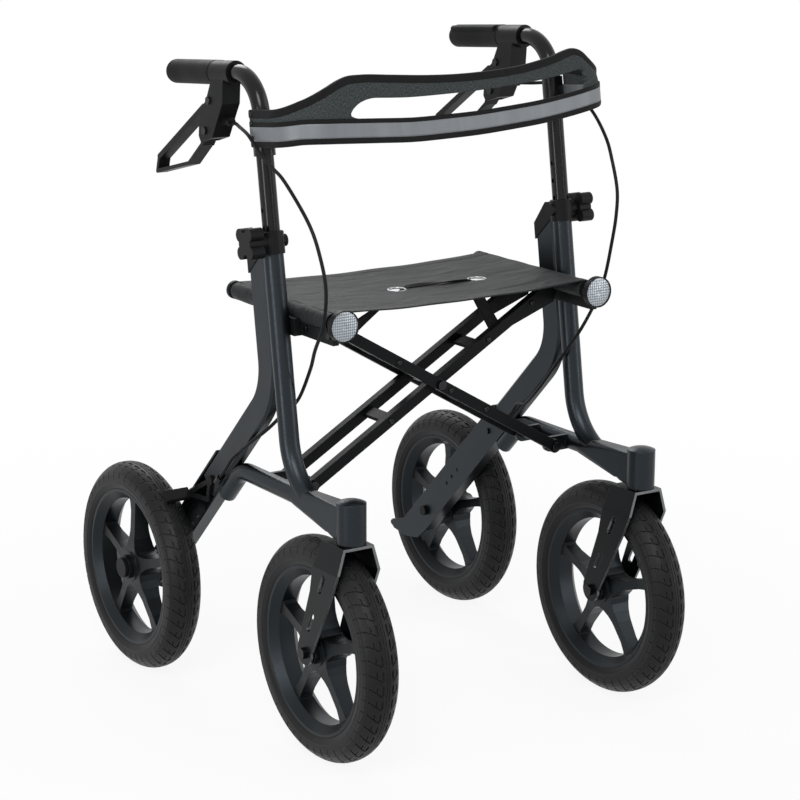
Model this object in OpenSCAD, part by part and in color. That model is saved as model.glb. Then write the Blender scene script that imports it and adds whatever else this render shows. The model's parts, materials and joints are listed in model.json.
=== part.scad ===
// All terrain rollator: two side frames joined by a folding cross brace, with a sling seat and a back band.
// X runs to the user's left, Y to the rear and Z up. The origin is on the floor, midway between the wheels.

/* [Frame] */
// Distance between the planes of the two side frames
side_w = 488; // [470:1:510]
// Distance from the front axles to the rear axles
wheel_base = 464; // [450:1:480]
// Height of the top of the collars
collar_z = 712.5; // [700:0.5:730]
// Place of the top of the collars ahead of the middle of the wheel base
collar_fore = 98; // [90:1:106]
// Backward lean of the uprights, in degrees
lean = 8.5; // [7:0.5:10]
// Outside diameter of the front tubes
tube_d = 28; // [27:0.5:32]
// Straight length of the front tubes below the collar lip
tube_run = 280; // [270:1:290]
// Centre line radius of the bend at the foot of the front tubes
tube_bend_r = 95; // [85:1:105]
// Angle of the rear legs to the floor, in degrees
leg_angle = 45; // [43:0.5:47]
// Depth of the rear leg section
leg_deep = 42; // [38:1:46]
// Thickness of the rear leg section
leg_w = 18; // [15:0.5:20]
// Centre line radius of the bend in the rear legs
leg_bend_r = 90; // [70:1:110]
// Distance along the leg from the rear axle to the end of the leg section
leg_gap = 222; // [205:1:235]
// Diameter of the lower tubes
lower_d = 26; // [24:0.5:28]
// Height of the lower tubes above the tyres
lower_gap = 42; // [35:1:50]
// Wall of the axle brackets
bracket_t = 3; // [2:0.25:4]

/* [Wheels] */
// Outside diameter of the tyres
wheel_d = 315; // [305:1:320]
// Width of the tyres
tyre_w = 53; // [46:1:56]
// Height of the tyres above the rim flanges
tyre_h = 39; // [35:1:45]
// Diameter of the hubs
hub_d = 44; // [38:1:50]
// Number of spokes
spoke_n = 5; // [4:1:7]
// Width of the spokes where they meet the rim
spoke_tip = 22; // [18:1:28]
// Diameter of the axle bolts
axle_d = 12; // [10:0.5:14]
// Distance from the side frame plane to the middle of the rear tyre
rear_offset = 42; // [41:0.5:48]
// Distance from the caster axis back to the front axle
trail = 67; // [60:1:75]
// Diameter of the caster heads
head_d = 40; // [36:1:44]
// Height of the caster heads
head_h = 55; // [45:1:65]
// Plate thickness of the forks
fork_t = 4; // [3:0.25:5]
// Room between the tyre and each fork leg
fork_gap = 3.5; // [3:0.25:6]

/* [Handles] */
// Diameter of the handle posts
post_d = 24; // [22:0.25:25]
// Height of the right post above the collar, up to its bend
post_rise = 155; // [148:1:170]
// Distance between the adjustment holes, by which the left post stands higher
notch = 25; // [20:1:28]
// Centre line radius of the bend in the posts
post_bend_r = 60; // [55:1:70]
// Turn of the bend in the posts, in degrees
post_turn = 86; // [80:1:90]
// Diameter of the grips
grip_d = 34; // [30:1:38]
// Length of the grips
grip_l = 126; // [115:1:140]
// Thickness of the brake housings
housing_w = 28; // [26:1:32]
// Thickness of the brake levers
lever_t = 18; // [14:0.5:20]
// Reach of the brake levers from their pins
lever_l = 164; // [150:1:175]

/* [Cross brace and seat] */
// Distance of the cross brace ahead of the middle of the wheel base
brace_fore = 100; // [95:1:105]
// Distance of the lower hinge pins in from the side frame planes
hinge_in = 40; // [36:1:46]
// Distance of the seat rails in from the side frame planes
rail_in = 32; // [31:0.5:34]
// Height of the seat rails
rail_z = 601; // [590:1:610]
// Height of the cross bars in their plane
bar_h = 16; // [12:0.5:18]
// Thickness of the cross bars
bar_t = 12; // [8:0.5:12.5]
// Distance between the outer bars, centre to centre
outer_pitch = 88; // [87:0.5:100]
// Distance between the inner bars, centre to centre
inner_pitch = 62; // [50:0.5:63]
// Diameter of the seat rails
rail_d = 22; // [19:0.5:22.5]
// Length of the seat rails ahead of the sling
rail_end = 21; // [16:1:28]
// Diameter of the reflectors
reflector_d = 44; // [36:1:46]
// Depth of the seat sling from front to rear
seat_l = 254; // [230:1:258]
// Sag of the sling in its middle
seat_sag = 8; // [4:0.5:16]
// Thickness of the sling
seat_t = 2; // [1.5:0.25:3]

/* [Backrest] */
// Reach of the back band ahead of the posts
back_fore = 125; // [110:1:140]
// Radius of the corners of the back band
back_r = 66; // [50:1:80]
// Thickness of the back band
back_t = 7; // [5:0.5:9]
// Height of the band at its tallest
back_h = 96; // [90:1:110]
// Height of the lower edge of the band at the middle
back_z = 837; // [830:1:850]
// Height of the slot in the band
slot_h = 27; // [20:1:32]

/* [Brake] */
// Gap between a brake shoe and the tyre
shoe_gap = 3; // [2:0.25:5]
// Place of the brake shoe round the tyre, up from the rear, in degrees
shoe_angle = 127; // [124:1:130]
// Diameter of the brake cables
cable_d = 5; // [4:0.25:6]

/* [Fits] */
// Room on the radius of parts that turn or slide in one another
fit = 0.05; // [0.03:0.01:0.1]
// Room between pieces that pass one another
gap = 0.4; // [0.3:0.05:0.8]

/* [Hidden] */
$fn = 64;
left = 1;
right = -1;
// Overrun of every cut
over = 2;
// Step in width where a straight side meets a round end
seam = 0.1;

// Colours
frame_grey = [0.21, 0.23, 0.245];
black = [0.07, 0.07, 0.075];
post_black = [0.05, 0.05, 0.055];
rubber_black = [0.1, 0.1, 0.1];
cloth_grey = [0.3, 0.31, 0.32];
silver = [0.72, 0.73, 0.74];

// Places in the frame
half_side = side_w / 2;
axle_z = wheel_d / 2;
front_y = -wheel_base / 2;
rear_y = wheel_base / 2;
head_y = front_y - trail;
lower_z = wheel_d + lower_gap;
hinge_x = half_side - hinge_in;
rail_x = half_side - rail_in;
brace_y = -brace_fore;
pivot_z = (lower_z * rail_x + rail_z * hinge_x) / (rail_x + hinge_x);

// Collar casting
collar_lip = 4;
collar_h = 31;
collar_wall = 2.5;
collar_d = tube_d + 2 * collar_wall;
collar_chamfer = 1.5;
cap_flat = 26;
cap_down = 3;
cap_t = 24;
cap_side = 1;
knob_down = 14;
boss_d = 21;
knob_t = 20;
knob_d = 30;
lobe_d = 18;
lobe_r = 17;
boss_reach = 23;
inner_head_d = 17;
inner_head_reach = 20.5;

// Rear leg path in the plane of the upright
fin_seat = 1;
fin_off = tube_d / 2 - fin_seat + leg_deep / 2;
leg_edge = 3.5;
lean_leg = leg_angle - lean;
leg_turn = 90 - lean_leg;
axle_dy = rear_y + collar_fore;
axle_dz = axle_z - collar_z;
axle_u = axle_dy * cos(lean) - axle_dz * sin(lean);
axle_w = axle_dy * sin(lean) + axle_dz * cos(lean);
knee_run = (axle_u - fin_off) / cos(lean_leg);
knee_w = axle_w + knee_run * sin(lean_leg);
knee_cut = leg_bend_r * tan(leg_turn / 2);
leg_run = knee_run - knee_cut - leg_gap;

// Front tube foot and the arm to the caster head
tube_turn = 62;
arm_start = 62;
arm_side = 0.3;
arm_w = tube_d + 2 * arm_side;
arm_h = 49;
arm_drop = 4;
notch_r = 11;
notch_back = 50;
arch_r = 45;
arch_run = 46;
arch_seat = 2.5;
leg_line = rear_y + axle_z / tan(leg_angle);
arch_off = leg_deep / 2 + lower_d / 2 - arch_seat;
arch_end_z = lower_z - arch_r * (1 - cos(leg_angle));
arch_end_y = leg_line - arch_end_z / tan(leg_angle) - arch_off / sin(leg_angle);
arch_y = arch_end_y - arch_r * sin(leg_angle);
arm_y = head_y + head_d / 2 + arm_start + notch_back;

// Caster head, stem and fork
crown_gap = 5;
crown_z = wheel_d + crown_gap + fork_t;
stem_d = 16;
bearing_t = 1.2;
bearing_d = 34;
stem_in = 44;
head_z = crown_z + bearing_t + gap;
dome_r = 46;
dome_h = 5;
fork_in = tyre_w / 2 + fork_gap;
fork_out = fork_in + fork_t;
crown_half = 23.5;
fork_fold = 1.2;
shoulder_z = 36;
fork_fore = 18;
fork_eye_r = 17;
fork_deep = 55;
fork_h = crown_z - axle_z;
fork_front_shares = [[0, 1], [0, 0.79], [0.22, 0.63], [1.22, 0.02]];
fork_back_shares = [[1.85, 0.04], [1.26, 0.56], [1, 1]];
fork_slot_d = 9;
fork_slot_l = 20;
fork_slot_shares = [[0.72, 0.66], [1.24, 0.29]];

// Wheels
rim_d = wheel_d - 2 * tyre_h;
hub_l = 2 * (tyre_w / 2 + 1);
rim_half = 23;
rim_t = 4;
rim_well = 11;
rim_lip = 7;
bead_in = 3;
tread_share = 0.62;
tread_r = tyre_w * tread_share;
groove_w = 2;
groove_deep = 2;
groove_shares = [-0.2, 0.2];
spoke_w = spoke_tip / 2;
spoke_width_shares = [[0.12, 1.6], [0.23, 1.5], [0.3, 1.06], [0.4, 0.74], [0.55, 0.6],
    [0.8, 0.6], [0.93, 0.74], [1, 1]];
spoke_deep = 17;
spoke_deep_shares = [[0.12, 1], [0.28, 0.95], [0.5, 0.72], [0.8, 0.6], [1, 0.62]];
valve_d = 7;
valve_l = 20;
valve_angle = 54;
hub_end_d = 36;
hub_step = 9;
cap_d = 30;
cap_l = 5;

// Axle bracket and kerb pedal
bracket_lap = 58;
bracket_low = 26;
bracket_half = leg_deep / 2 + bracket_t;
axle_head_d = 16;
axle_head_l = 6;
spacer_d = 20;
small_bolt_d = 9;
small_bolt_l = 3;
lap_bolt_shares = [0.35, 0.8];
pedal_l = 104;
pedal_w = 26;
pedal_t = 8;
pedal_shares = [[-0.23, 0], [-0.2, -0.36], [0.0, -0.72], [0.27, -1], [0.4, -0.92], [0.23, -0.5], [0.23, 0]];
vent_d = 6;
vent_from = 66;
vent_step = 20;

// Brake arm
arm_pin_d = 8;
arm_pin_in = 10;
arm_plate_t = 4;
arm_pin_up = 14;
arm_bar = 7;
shoe_t = 7;
shoe_h = 18;
shoe_side = 8;
arm_heel = 30;
arm_eye_share = 1.9;
barrel_d = 8;
barrel_l = 18;

// Handle posts
post_in = 160;
post_wall = 2;
hole_d = 6.5;
hole_n = 5;
hole_first = 28;
flute_d = 5;
flute_deep = 1;
foot_h = 52;
foot_low = 101;
foot_d = 30;
bar_l = 166;
bar_step = 0.2;
bar_d = post_d - bar_step;

// Grips and brake housings, along the bar behind the bend
housing_fore = 3;
housing_band = 56;
band_d = 33;
housing_round = 4;
housing_deep = 100;
housing_shares = [[0.12, 0], [0.21, -0.1], [0.26, -0.41], [0.37, -0.56], [0.58, -0.86], [0.87, -0.92],
    [0.9, -0.87], [0.84, -0.54], [0.65, -0.41], [0.49, -0.15], [0.4, 0]];
slot_room_shares = [[0.48, -0.64], [0.66, -0.42], [0.7, -0.34], [1.3, -0.34], [1.3, -1.3], [0.66, -1.3],
    [0.66, -0.92]];
pin_d = 6;
pin_head_d = 11;
pin_head_l = 2.5;
pin_u = 76;
pin_w = -80;
bolt_u = 60;
bolt_w = -38;
boot_d = 12;
boot_l = 40;
boot_u = 12;
boot_w = -68;
lever_shares = [[0.06, 0.2], [0.926, -0.262], [0.975, -0.39], [0.378, -0.293], [0.116, -0.116]];
lever_up_w = 8;
lever_tip_w = 6;
lever_low_w = 5.5;
lever_eye_d = 19;
grip_end = 10;
wing_out = 12;
wing_up = 11;
wing_r = 5;

// Cross brace
hinge_d = 8;
hinge_head_d = 14;
hinge_head_l = 4;
ear_t = 6;
ear_r = 11;
eye_r = 10;
plate_at = 87;
plate_l = 14;
plate_t = 6;
gusset_share = 0.28;
gusset_h = 21;
gusset_nose = 4;
gusset_round = 1;
pivot_d = 10;
pivot_head_d = 13;
pivot_head_l = 4;

// Seat rails, saddles and sling
rail_back = 7;
rail_wall = 2;
cap_over = 2;
cap_in = 14;
cap_out = 6;
cup_l = 9;
lens_l = 2;
lens_rim = 1.2;
sleeve_t = 1.6;
sleeve_gap = 0.3;
seat_back = 50;
rail_fore = seat_l - seat_back + rail_end;
rail_l = rail_fore + seat_back + rail_back;
sleeve_r = rail_d / 2 + sleeve_gap + sleeve_t;
strap_slots = [[-32, -84], [103, -88]];
strap_slot_l = 20;
strap_slot_w = 10;
saddle_top = 4;
saddle_h = 24;
saddle_in = 7;
saddle_fore = rail_fore - saddle_in;
saddle_rear = 98;
saddle_block = 40;
saddle_t = 9;
saddle_seat = 3;
saddle_out = rail_in - tube_d / 2 + saddle_seat;
saddle_bolt_shares = [0.075, 0.575];

// Back band
band_tilt_share = 0.045;
back_loop = foot_d / 2 + sleeve_gap;
back_half = half_side + back_loop + back_t;
back_top_shares = [[1, 0.55], [0.9, 0.9], [0.8, 0.96], [0.5, 0.91], [-0.38, 0.97], [-0.68, 1],
    [-0.8, 0.84], [-0.92, 0.67], [-1, 0.56]];
slot_low = 31;
loop_over = 8;
slot_shares = [[-0.67, 0], [-0.67, 0.25], [-0.62, 0.62], [-0.53, 1], [0.81, 1], [0.81, 0]];

// Brake cable routes from the housing boot down, and their lower ends out from, back from and up the rear leg
cable_right = [[-244, 6, 847], [-244, 2, 847], [-244, -2, 847], [-250, -18, 848], [-265, -50, 850],
    [-272, -85, 844], [-273, -103, 834], [-270, -119, 819], [-262, -133, 804], [-253, -152, 785],
    [-247, -202, 736], [-245, -227, 693], [-244, -238, 652], [-243, -229, 606], [-239, -201, 566],
    [-228, -170, 532], [-218, -122, 480], [-231, -104, 458]];
tail_right = [[1, -29, 420], [13, -24, 372], [14, -15, 327], [14, -15, 298], [14, -15, 270]];
cable_left = [[244, 10, 872], [244, 6, 872], [244, 2, 872], [250, -14, 873], [265, -46, 875],
    [272, -85, 868], [272, -132, 843], [264, -175, 811], [259, -197, 781], [256, -214, 741],
    [253, -217, 706], [251, -212, 669], [248, -200, 612], [241, -186, 571], [233, -168, 534],
    [225, -152, 507], [217, -126, 470], [216, -92, 432]];
tail_left = [[-22, -29, 370], [-16, -14, 345], [-14, -14, 324], [-14, -14, 312], [-14, -14, 300]];
cable_sides = 8;
cable_step = 2;
stop_d = 10;
stop_l = 14;

// Points of a table of shares, stretched to a size
function stretched(shares, w, h) = [for (p = shares) [p[0] * w, p[1] * h]];

// Turns what is drawn for the left side over to the side asked for
module on_side(s) {
    if (s == left) children();
    else mirror([1, 0, 0]) children();
}

// Moves children to the top of the left collar, with Z up along the leaning upright
module at_mast() {
    translate([half_side, -collar_fore, collar_z]) rotate([-lean, 0, 0]) children();
}

// Moves children to the left rear axle, with Z up along the rear leg
module at_leg() {
    translate([half_side, rear_y, axle_z]) rotate([90 - leg_angle, 0, 0]) children();
}

// Height of a post above its collar
function rise(s) = s == left ? post_rise + notch : post_rise;

// Moves children to the end of the bend in a post, with Y along the bar to the rear
module at_bar(s) {
    at_mast() translate([0, post_bend_r * (1 - cos(post_turn)), rise(s) + post_bend_r * sin(post_turn)])
        rotate([90 - post_turn, 0, 0]) children();
}

// Outline in Y and Z, given a thickness along X
module slab(w) {
    rotate([90, 0, 90]) linear_extrude(w, center = true) children();
}

// Outline in X and Z, given a thickness along Y
module across(w) {
    rotate([90, 0, 0]) linear_extrude(w, center = true) children();
}

module rod_x(d, l) {
    rotate([0, 90, 0]) cylinder(d = d, h = l, center = true);
}

module rod_y(d, l) {
    rotate([-90, 0, 0]) cylinder(d = d, h = l);
}

// Bend that starts downward at the origin and turns toward the front
module elbow(r, turn) {
    translate([0, -r, 0]) rotate([-90, 0, 90]) rotate_extrude(angle = turn) translate([r, 0]) children();
}

// Moves children to the far end of such a bend
module past_elbow(r, turn) {
    translate([0, -r * (1 - cos(turn)), -r * sin(turn)]) rotate([-turn, 0, 0]) children();
}

// Flat bar between two points, with round ends
module strip(p, q, w) {
    d = q - p;
    translate(p) rotate(atan2(d[1], d[0])) translate([0, (seam - w) / 2]) square([norm(d), w - seam]);
    translate(p) circle(d = w);
    translate(q) circle(d = w);
}

// Polygon grown by a radius, with round corners
module soft_polygon(points, r) {
    polygon(points);
    n = len(points);
    for (i = [0 : n - 1]) strip(points[i], points[(i + 1) % n], 2 * r);
}

// Rectangle with round corners
module round_rect(w, h, r) {
    square([w, h - 2 * r], center = true);
    square([w - 2 * r, h], center = true);
    for (i = [-1, 1], j = [-1, 1]) translate([i * (w / 2 - r), j * (h / 2 - r)]) circle(r);
}

// Rectangle with cut corners
module edged_rect(w, h, c) {
    a = w / 2;
    b = h / 2;
    polygon([[a - c, -b], [a, c - b], [a, b - c], [a - c, b], [c - a, b], [-a, b - c], [-a, c - b], [c - a, -b]]);
}

// Straight stretch of the rear leg alone
module leg_straight() {
    at_leg() translate([0, 0, leg_gap]) linear_extrude(leg_run) edged_rect(leg_w, leg_deep, leg_edge);
}

// Block behind the front face of the rear leg
module leg_face() {
    at_leg() translate([-leg_deep, -leg_deep / 2, leg_gap - arch_run]) cube([2 * leg_deep, leg_deep, leg_run]);
}

// Rear leg section along its path, in the plane of the upright
module leg_path() {
    translate([0, fin_off, knee_w + knee_cut]) linear_extrude(-knee_w - knee_cut)
        edged_rect(leg_w, leg_deep, leg_edge);
    translate([0, fin_off, knee_w + knee_cut]) mirror([0, 1, 0]) {
        elbow(leg_bend_r, leg_turn) edged_rect(leg_deep, leg_w, leg_edge);
        past_elbow(leg_bend_r, leg_turn) mirror([0, 0, 1]) linear_extrude(leg_run)
            edged_rect(leg_w, leg_deep, leg_edge);
    }
}

// Line under the collar cap, at 45 degrees, and everything above it
module over_cap() {
    low = cap_flat - cap_t - cap_down;
    far = 2 * leg_deep;
    slab(leg_w + 2 * over) polygon([[0, low], [far, low - far], [far, far], [0, far]]);
}

module rear_leg(s) {
    color(frame_grey) on_side(s) difference() {
        at_mast() difference() {
            leg_path();
            translate([0, 0, -tube_run - collar_h]) cylinder(d = tube_d, h = tube_run + 2 * collar_h);
            over_cap();
        }
        at_leg() translate([0, 0, leg_gap + arm_pin_up])
            translate([leg_w / 2 - arm_pin_in / 2 + over / 2, 0, 0])
            rod_x(arm_pin_d + 2 * fit, arm_pin_in + gap + over);
    }
}

// Front tube on its path: straight down, then bent forward
module tube_path(d) {
    translate([0, 0, -collar_lip - tube_run]) {
        cylinder(d = d, h = tube_run);
        elbow(tube_bend_r, tube_turn) circle(d = d);
    }
}

// Tapered arm from the lower tube to the caster head
module arm_shape() {
    top = lower_z + lower_d / 2;
    hull($fn = 32) {
        translate([half_side, arm_y, lower_z]) rod_y(arm_w, over);
        translate([half_side - arm_w / 2, head_y, top + arm_drop - arm_h]) cube([arm_w, over, arm_h]);
    }
}

module front_tube(s) {
    color(frame_grey) on_side(s) difference() {
        at_mast() difference() {
            tube_path(tube_d);
            translate([0, 0, -collar_lip - tube_run]) cylinder(d = post_d + 2 * fit, h = tube_run + over);
            translate([boss_reach / 2, 0, -knob_down]) rod_x(arm_pin_d + 2 * fit, boss_reach);
        }
        arm_shape();
        translate([half_side, arm_y, lower_z]) rod_y(lower_d, arch_y - arm_y);
    }
}

// Ears that carry the hinge pin of the cross brace
module ears(pitch) {
    inside = pitch / 2 - bar_t / 2 - gap - ear_t / 2;
    for (k = [-1, 1]) translate([0, brace_y + k * inside, 0]) across(ear_t) {
        translate([hinge_x, lower_z]) circle(ear_r);
        translate([hinge_x, lower_z - ear_r]) square([half_side - hinge_x, 2 * ear_r]);
    }
}

function hinge_pitch(s) = s == left ? outer_pitch : inner_pitch;

module lower_tube(s) {
    color(frame_grey) on_side(s) difference() {
        union() {
            translate([half_side, arm_y, lower_z]) rod_y(lower_d, arch_y - arm_y);
            translate([half_side, arch_y, lower_z]) rotate([90, 0, 0]) {
                elbow(arch_r, leg_angle) circle(d = lower_d - bar_step / 2);
                past_elbow(arch_r, leg_angle) translate([0, 0, -arch_run])
                    cylinder(d = lower_d - bar_step, h = arch_run + over);
            }
            difference() {
                arm_shape();
                translate([half_side, head_y + head_d / 2 + notch_back - arm_start / 2, crown_z - over])
                    rod_x(2 * notch_r, 2 * arm_w);
            }
            ears(hinge_pitch(s));
        }
        leg_face();
        translate([half_side, head_y, 0]) cylinder(d = head_d, h = collar_z);
        translate([hinge_x, brace_y - outer_pitch, lower_z]) rod_y(hinge_d, 2 * outer_pitch);
    }
}

module caster_head(s) {
    color(frame_grey) on_side(s) translate([half_side, head_y, head_z]) difference() {
        union() {
            cylinder(d = head_d, h = head_h);
            intersection() {
                translate([0, 0, head_h + dome_h - dome_r]) sphere(dome_r);
                translate([0, 0, head_h - over]) cylinder(d = head_d, h = dome_h + over);
            }
        }
        translate([0, 0, -over]) cylinder(d = stem_d + 2 * fit, h = stem_in + gap + over);
    }
}

module collar(s) {
    low = cap_flat - cap_t - cap_down;
    rear = fin_off + leg_deep / 2 + cap_side;
    color(black) on_side(s) at_mast() difference() {
        union() {
            rotate_extrude() polygon([[0, 0], [collar_d / 2 - collar_chamfer, 0],
                [collar_d / 2, -collar_chamfer], [collar_d / 2, -collar_h], [0, -collar_h]]);
            slab(leg_w + 2 * cap_side) polygon([[0, -cap_down], [cap_flat, -cap_down],
                [rear, cap_flat - cap_down - rear], [rear, low - rear], [0, low - collar_d / 2],
                [0, -cap_down]]);
            translate([boss_reach / 2, 0, -knob_down]) rod_x(boss_d, boss_reach);
            translate([-inner_head_reach / 2, 0, -knob_down]) rod_x(inner_head_d, inner_head_reach);
        }
        translate([0, 0, -collar_h - leg_deep]) cylinder(d = tube_d, h = collar_h + leg_deep - collar_lip);
        translate([0, 0, -collar_lip - over]) cylinder(d = post_d + 2 * fit, h = collar_lip + 2 * over);
        translate([boss_reach / 2 + over, 0, -knob_down]) rod_x(arm_pin_d + 2 * fit, boss_reach + 2 * over);
        difference() {
            leg_path();
            over_cap();
        }
    }
}

// Four lobed knob on a stud
module clamp_knob(s) {
    stud_from = post_d / 2 + gap;
    color(black) on_side(s) at_mast() translate([0, 0, -knob_down]) {
        translate([boss_reach + gap + knob_t / 2, 0, 0]) slab(knob_t) {
            circle(d = knob_d);
            for (k = [0 : 3]) rotate(45 + 90 * k) translate([lobe_r, 0]) circle(d = lobe_d);
        }
        translate([stud_from, 0, 0]) rotate([0, 90, 0])
            cylinder(d = arm_pin_d, h = boss_reach + gap + over - stud_from);
    }
}

// Cradle under the outer side of a seat rail, held on the front tube by a block
module rail_saddle(s) {
    low = rail_z - saddle_top - saddle_h;
    color(black) on_side(s) difference() {
        union() {
            translate([rail_x, -saddle_fore, low]) cube([saddle_t, saddle_fore - saddle_rear, saddle_h]);
            translate([rail_x, -saddle_rear - saddle_block, low]) cube([saddle_out, saddle_block, saddle_h]);
        }
        translate([rail_x, -saddle_fore - over, rail_z])
            rod_y(2 * (sleeve_r + gap), saddle_fore - saddle_rear + 2 * over);
        at_mast() tube_path(tube_d);
    }
}

// Channel down the leg to the axle, drawn out to a kerb pedal
module axle_bracket(s) {
    web_x = -leg_w / 2 - bracket_t / 2;
    top = leg_gap + bracket_lap;
    color(frame_grey) on_side(s) difference() {
        at_leg() difference() {
            union() {
                translate([web_x, 0, 0]) slab(bracket_t) {
                    translate([-bracket_half, -bracket_low]) square([2 * bracket_half, top + bracket_low]);
                    translate([0, -bracket_low]) polygon(stretched(pedal_shares, pedal_l, pedal_l - bracket_low));
                }
                for (k = [-1, 1]) translate([-bracket_t / 2, k * (bracket_half - bracket_t / 2), 0])
                    slab(leg_w + bracket_t) translate([-bracket_t / 2, -bracket_low])
                    square([bracket_t, top + bracket_low]);
                tip = stretched(pedal_shares, pedal_l, pedal_l - bracket_low);
                translate([web_x + pedal_w / 2 - bracket_t / 2, 0, -bracket_low]) slab(pedal_w)
                    strip(tip[3] + [pedal_t / 2, pedal_t / 2], tip[4] - [pedal_t / 2, pedal_t / 2], pedal_t);
            }
            rod_x(axle_d, 4 * leg_w);
            for (k = [1 : 3]) translate([web_x, 0, vent_from + k * vent_step]) rod_x(vent_d, leg_w);
        }
        translate([half_side, arch_y, lower_z]) rotate([90, 0, 0]) past_elbow(arch_r, leg_angle)
            translate([0, 0, -arch_run]) cylinder(d = lower_d, h = arch_run);
    }
}

// Point beside a rear leg, given out from its middle, back from it and up along it
function on_leg(s, p) = [s * (half_side + p[0]), rear_y + p[1] * sin(leg_angle) - p[2] * cos(leg_angle),
    axle_z + p[1] * cos(leg_angle) + p[2] * sin(leg_angle)];
function last(route) = route[len(route) - 1];
function route_of(s) = concat(s == left ? cable_left : cable_right,
    [for (p = s == left ? tail_left : tail_right) on_leg(s, p)]);

// Heads of the small bolts of a side frame, and the stop that ends the brake cable
module frame_bolts(s) {
    p = last(route_of(s));
    color(silver) difference() {
        translate(p) rotate([90 - leg_angle, 0, 0]) translate([0, 0, -stop_l]) cylinder(d = stop_d, h = stop_l);
        on_side(s) leg_straight();
    }
    color(silver) on_side(s) {
        for (k = saddle_bolt_shares) translate([rail_x + saddle_t + small_bolt_l / 2,
            -saddle_fore + k * (saddle_fore - saddle_rear), rail_z - saddle_top - saddle_h / 2])
            rod_x(small_bolt_d, small_bolt_l);
        at_leg() for (k = lap_bolt_shares) translate([-leg_w / 2 - bracket_t - small_bolt_l / 2, 0,
            leg_gap + k * bracket_lap]) rod_x(small_bolt_d, small_bolt_l);
    }
}

module rear_axle(s) {
    web = -leg_w / 2 - bracket_t;
    inner_end = rear_offset - hub_l / 2 - gap;
    outer_end = rear_offset + hub_l / 2 + gap;
    color(black) on_side(s) translate([half_side, rear_y, axle_z]) rotate([0, 90, 0]) {
        translate([0, 0, web]) cylinder(d = axle_d, h = outer_end + over - web);
        translate([0, 0, web - axle_head_l]) cylinder(d = axle_head_d, h = axle_head_l);
        translate([0, 0, web + bracket_t]) cylinder(d = spacer_d, h = inner_end - web - bracket_t);
        translate([0, 0, outer_end]) cylinder(d = cap_d, h = cap_l);
    }
}

// Shoe place in the plane of the wheel
shoe_r = axle_z + shoe_gap + shoe_t / 2;
shoe_y = rear_y + shoe_r * cos(shoe_angle);
shoe_z = axle_z + shoe_r * sin(shoe_angle);
arm_y0 = rear_y - (leg_gap + arm_pin_up) * cos(leg_angle);
arm_z0 = axle_z + (leg_gap + arm_pin_up) * sin(leg_angle);
// Reach of the shoe toward the tyre for a turn of the arm, and the turn that presses it on
shoe_reach = (shoe_y - arm_y0) * sin(shoe_angle) - (shoe_z - arm_z0) * cos(shoe_angle);
shoe_press = (shoe_gap - gap) / shoe_reach * 180 / PI;

// Brake arm: an open triangle from its pin to the shoe across the tread
module brake_arm(s) {
    pin = [arm_y0, arm_z0];
    tip = [shoe_y, shoe_z];
    heel = pin + [arm_bar, -arm_heel];
    plate_x = half_side + leg_w / 2 + gap;
    color(black) on_side(s) difference() {
        union() {
            translate([plate_x + arm_plate_t / 2, 0, 0]) slab(arm_plate_t) {
                strip(pin, tip, arm_bar);
                strip(heel, tip, arm_bar);
                strip(pin, heel, arm_bar);
                translate(pin) circle(d = arm_eye_share * arm_pin_d);
            }
            translate([plate_x - arm_pin_in - gap, arm_y0, arm_z0])
                rotate([0, 90, 0]) cylinder(d = arm_pin_d, h = arm_pin_in + gap + arm_plate_t);
            translate([0, shoe_y, shoe_z]) rotate([shoe_angle - 90, 0, 0])
                translate([plate_x, -shoe_h / 2, -shoe_t / 2])
                cube([half_side + rear_offset + shoe_side - plate_x, shoe_h, shoe_t]);
            barrel = (pin + 2 * tip) / 3;
            translate([plate_x + arm_plate_t, barrel[0], barrel[1]])
                rotate([90 - atan2(pin[1] - tip[1], tip[0] - pin[0]), 0, 0])
                translate([0, 0, -barrel_l / 2]) cylinder(d = barrel_d, h = barrel_l);
        }
        translate([0, arm_y0, arm_z0]) rotate([shoe_press, 0, 0])
            translate([half_side + rear_offset, rear_y - arm_y0, axle_z - arm_z0])
            rod_x(wheel_d + 2 * gap, 2 * tyre_w);
    }
}

// Tube swept along a smooth route
function spline(a, b, c, d, t) = 0.5 * (2 * b + (c - a) * t + (2 * a - 5 * b + 4 * c - d) * t * t
    + (3 * b - a - 3 * c + d) * t * t * t);
function clamped(route, i) = route[max(0, min(len(route) - 1, i))];
function smooth(route) = concat([for (i = [0 : len(route) - 2], t = [0 : cable_step - 1])
    spline(clamped(route, i - 1), route[i], route[i + 1], clamped(route, i + 2), t / cable_step)],
    [last(route)]);
function unit(v) = v / norm(v);
function heading(path, i) = unit(clamped(path, i + 1) - clamped(path, i - 1));
function ring(path, i, r) =
    let (t = heading(path, i), u = unit(cross(t, [1, 0, 0])), v = cross(t, u))
    [for (k = [0 : cable_sides - 1]) path[i] + r * (cos(360 * k / cable_sides) * u
        + sin(360 * k / cable_sides) * v)];

module brake_cable(s) {
    path = smooth(route_of(s));
    n = len(path);
    m = cable_sides;
    points = [for (i = [0 : n - 1]) each ring(path, i, cable_d / 2)];
    sides = [for (i = [0 : n - 2], k = [0 : m - 1], f = [0, 1]) f == 0
        ? [i * m + k, i * m + (k + 1) % m, (i + 1) * m + k]
        : [i * m + (k + 1) % m, (i + 1) * m + (k + 1) % m, (i + 1) * m + k]];
    first_end = [for (k = [m - 1 : -1 : 0]) k];
    last_end = [for (k = [0 : m - 1]) (n - 1) * m + k];
    color(black) polyhedron(points, concat(sides, [first_end, last_end]));
}

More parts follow.
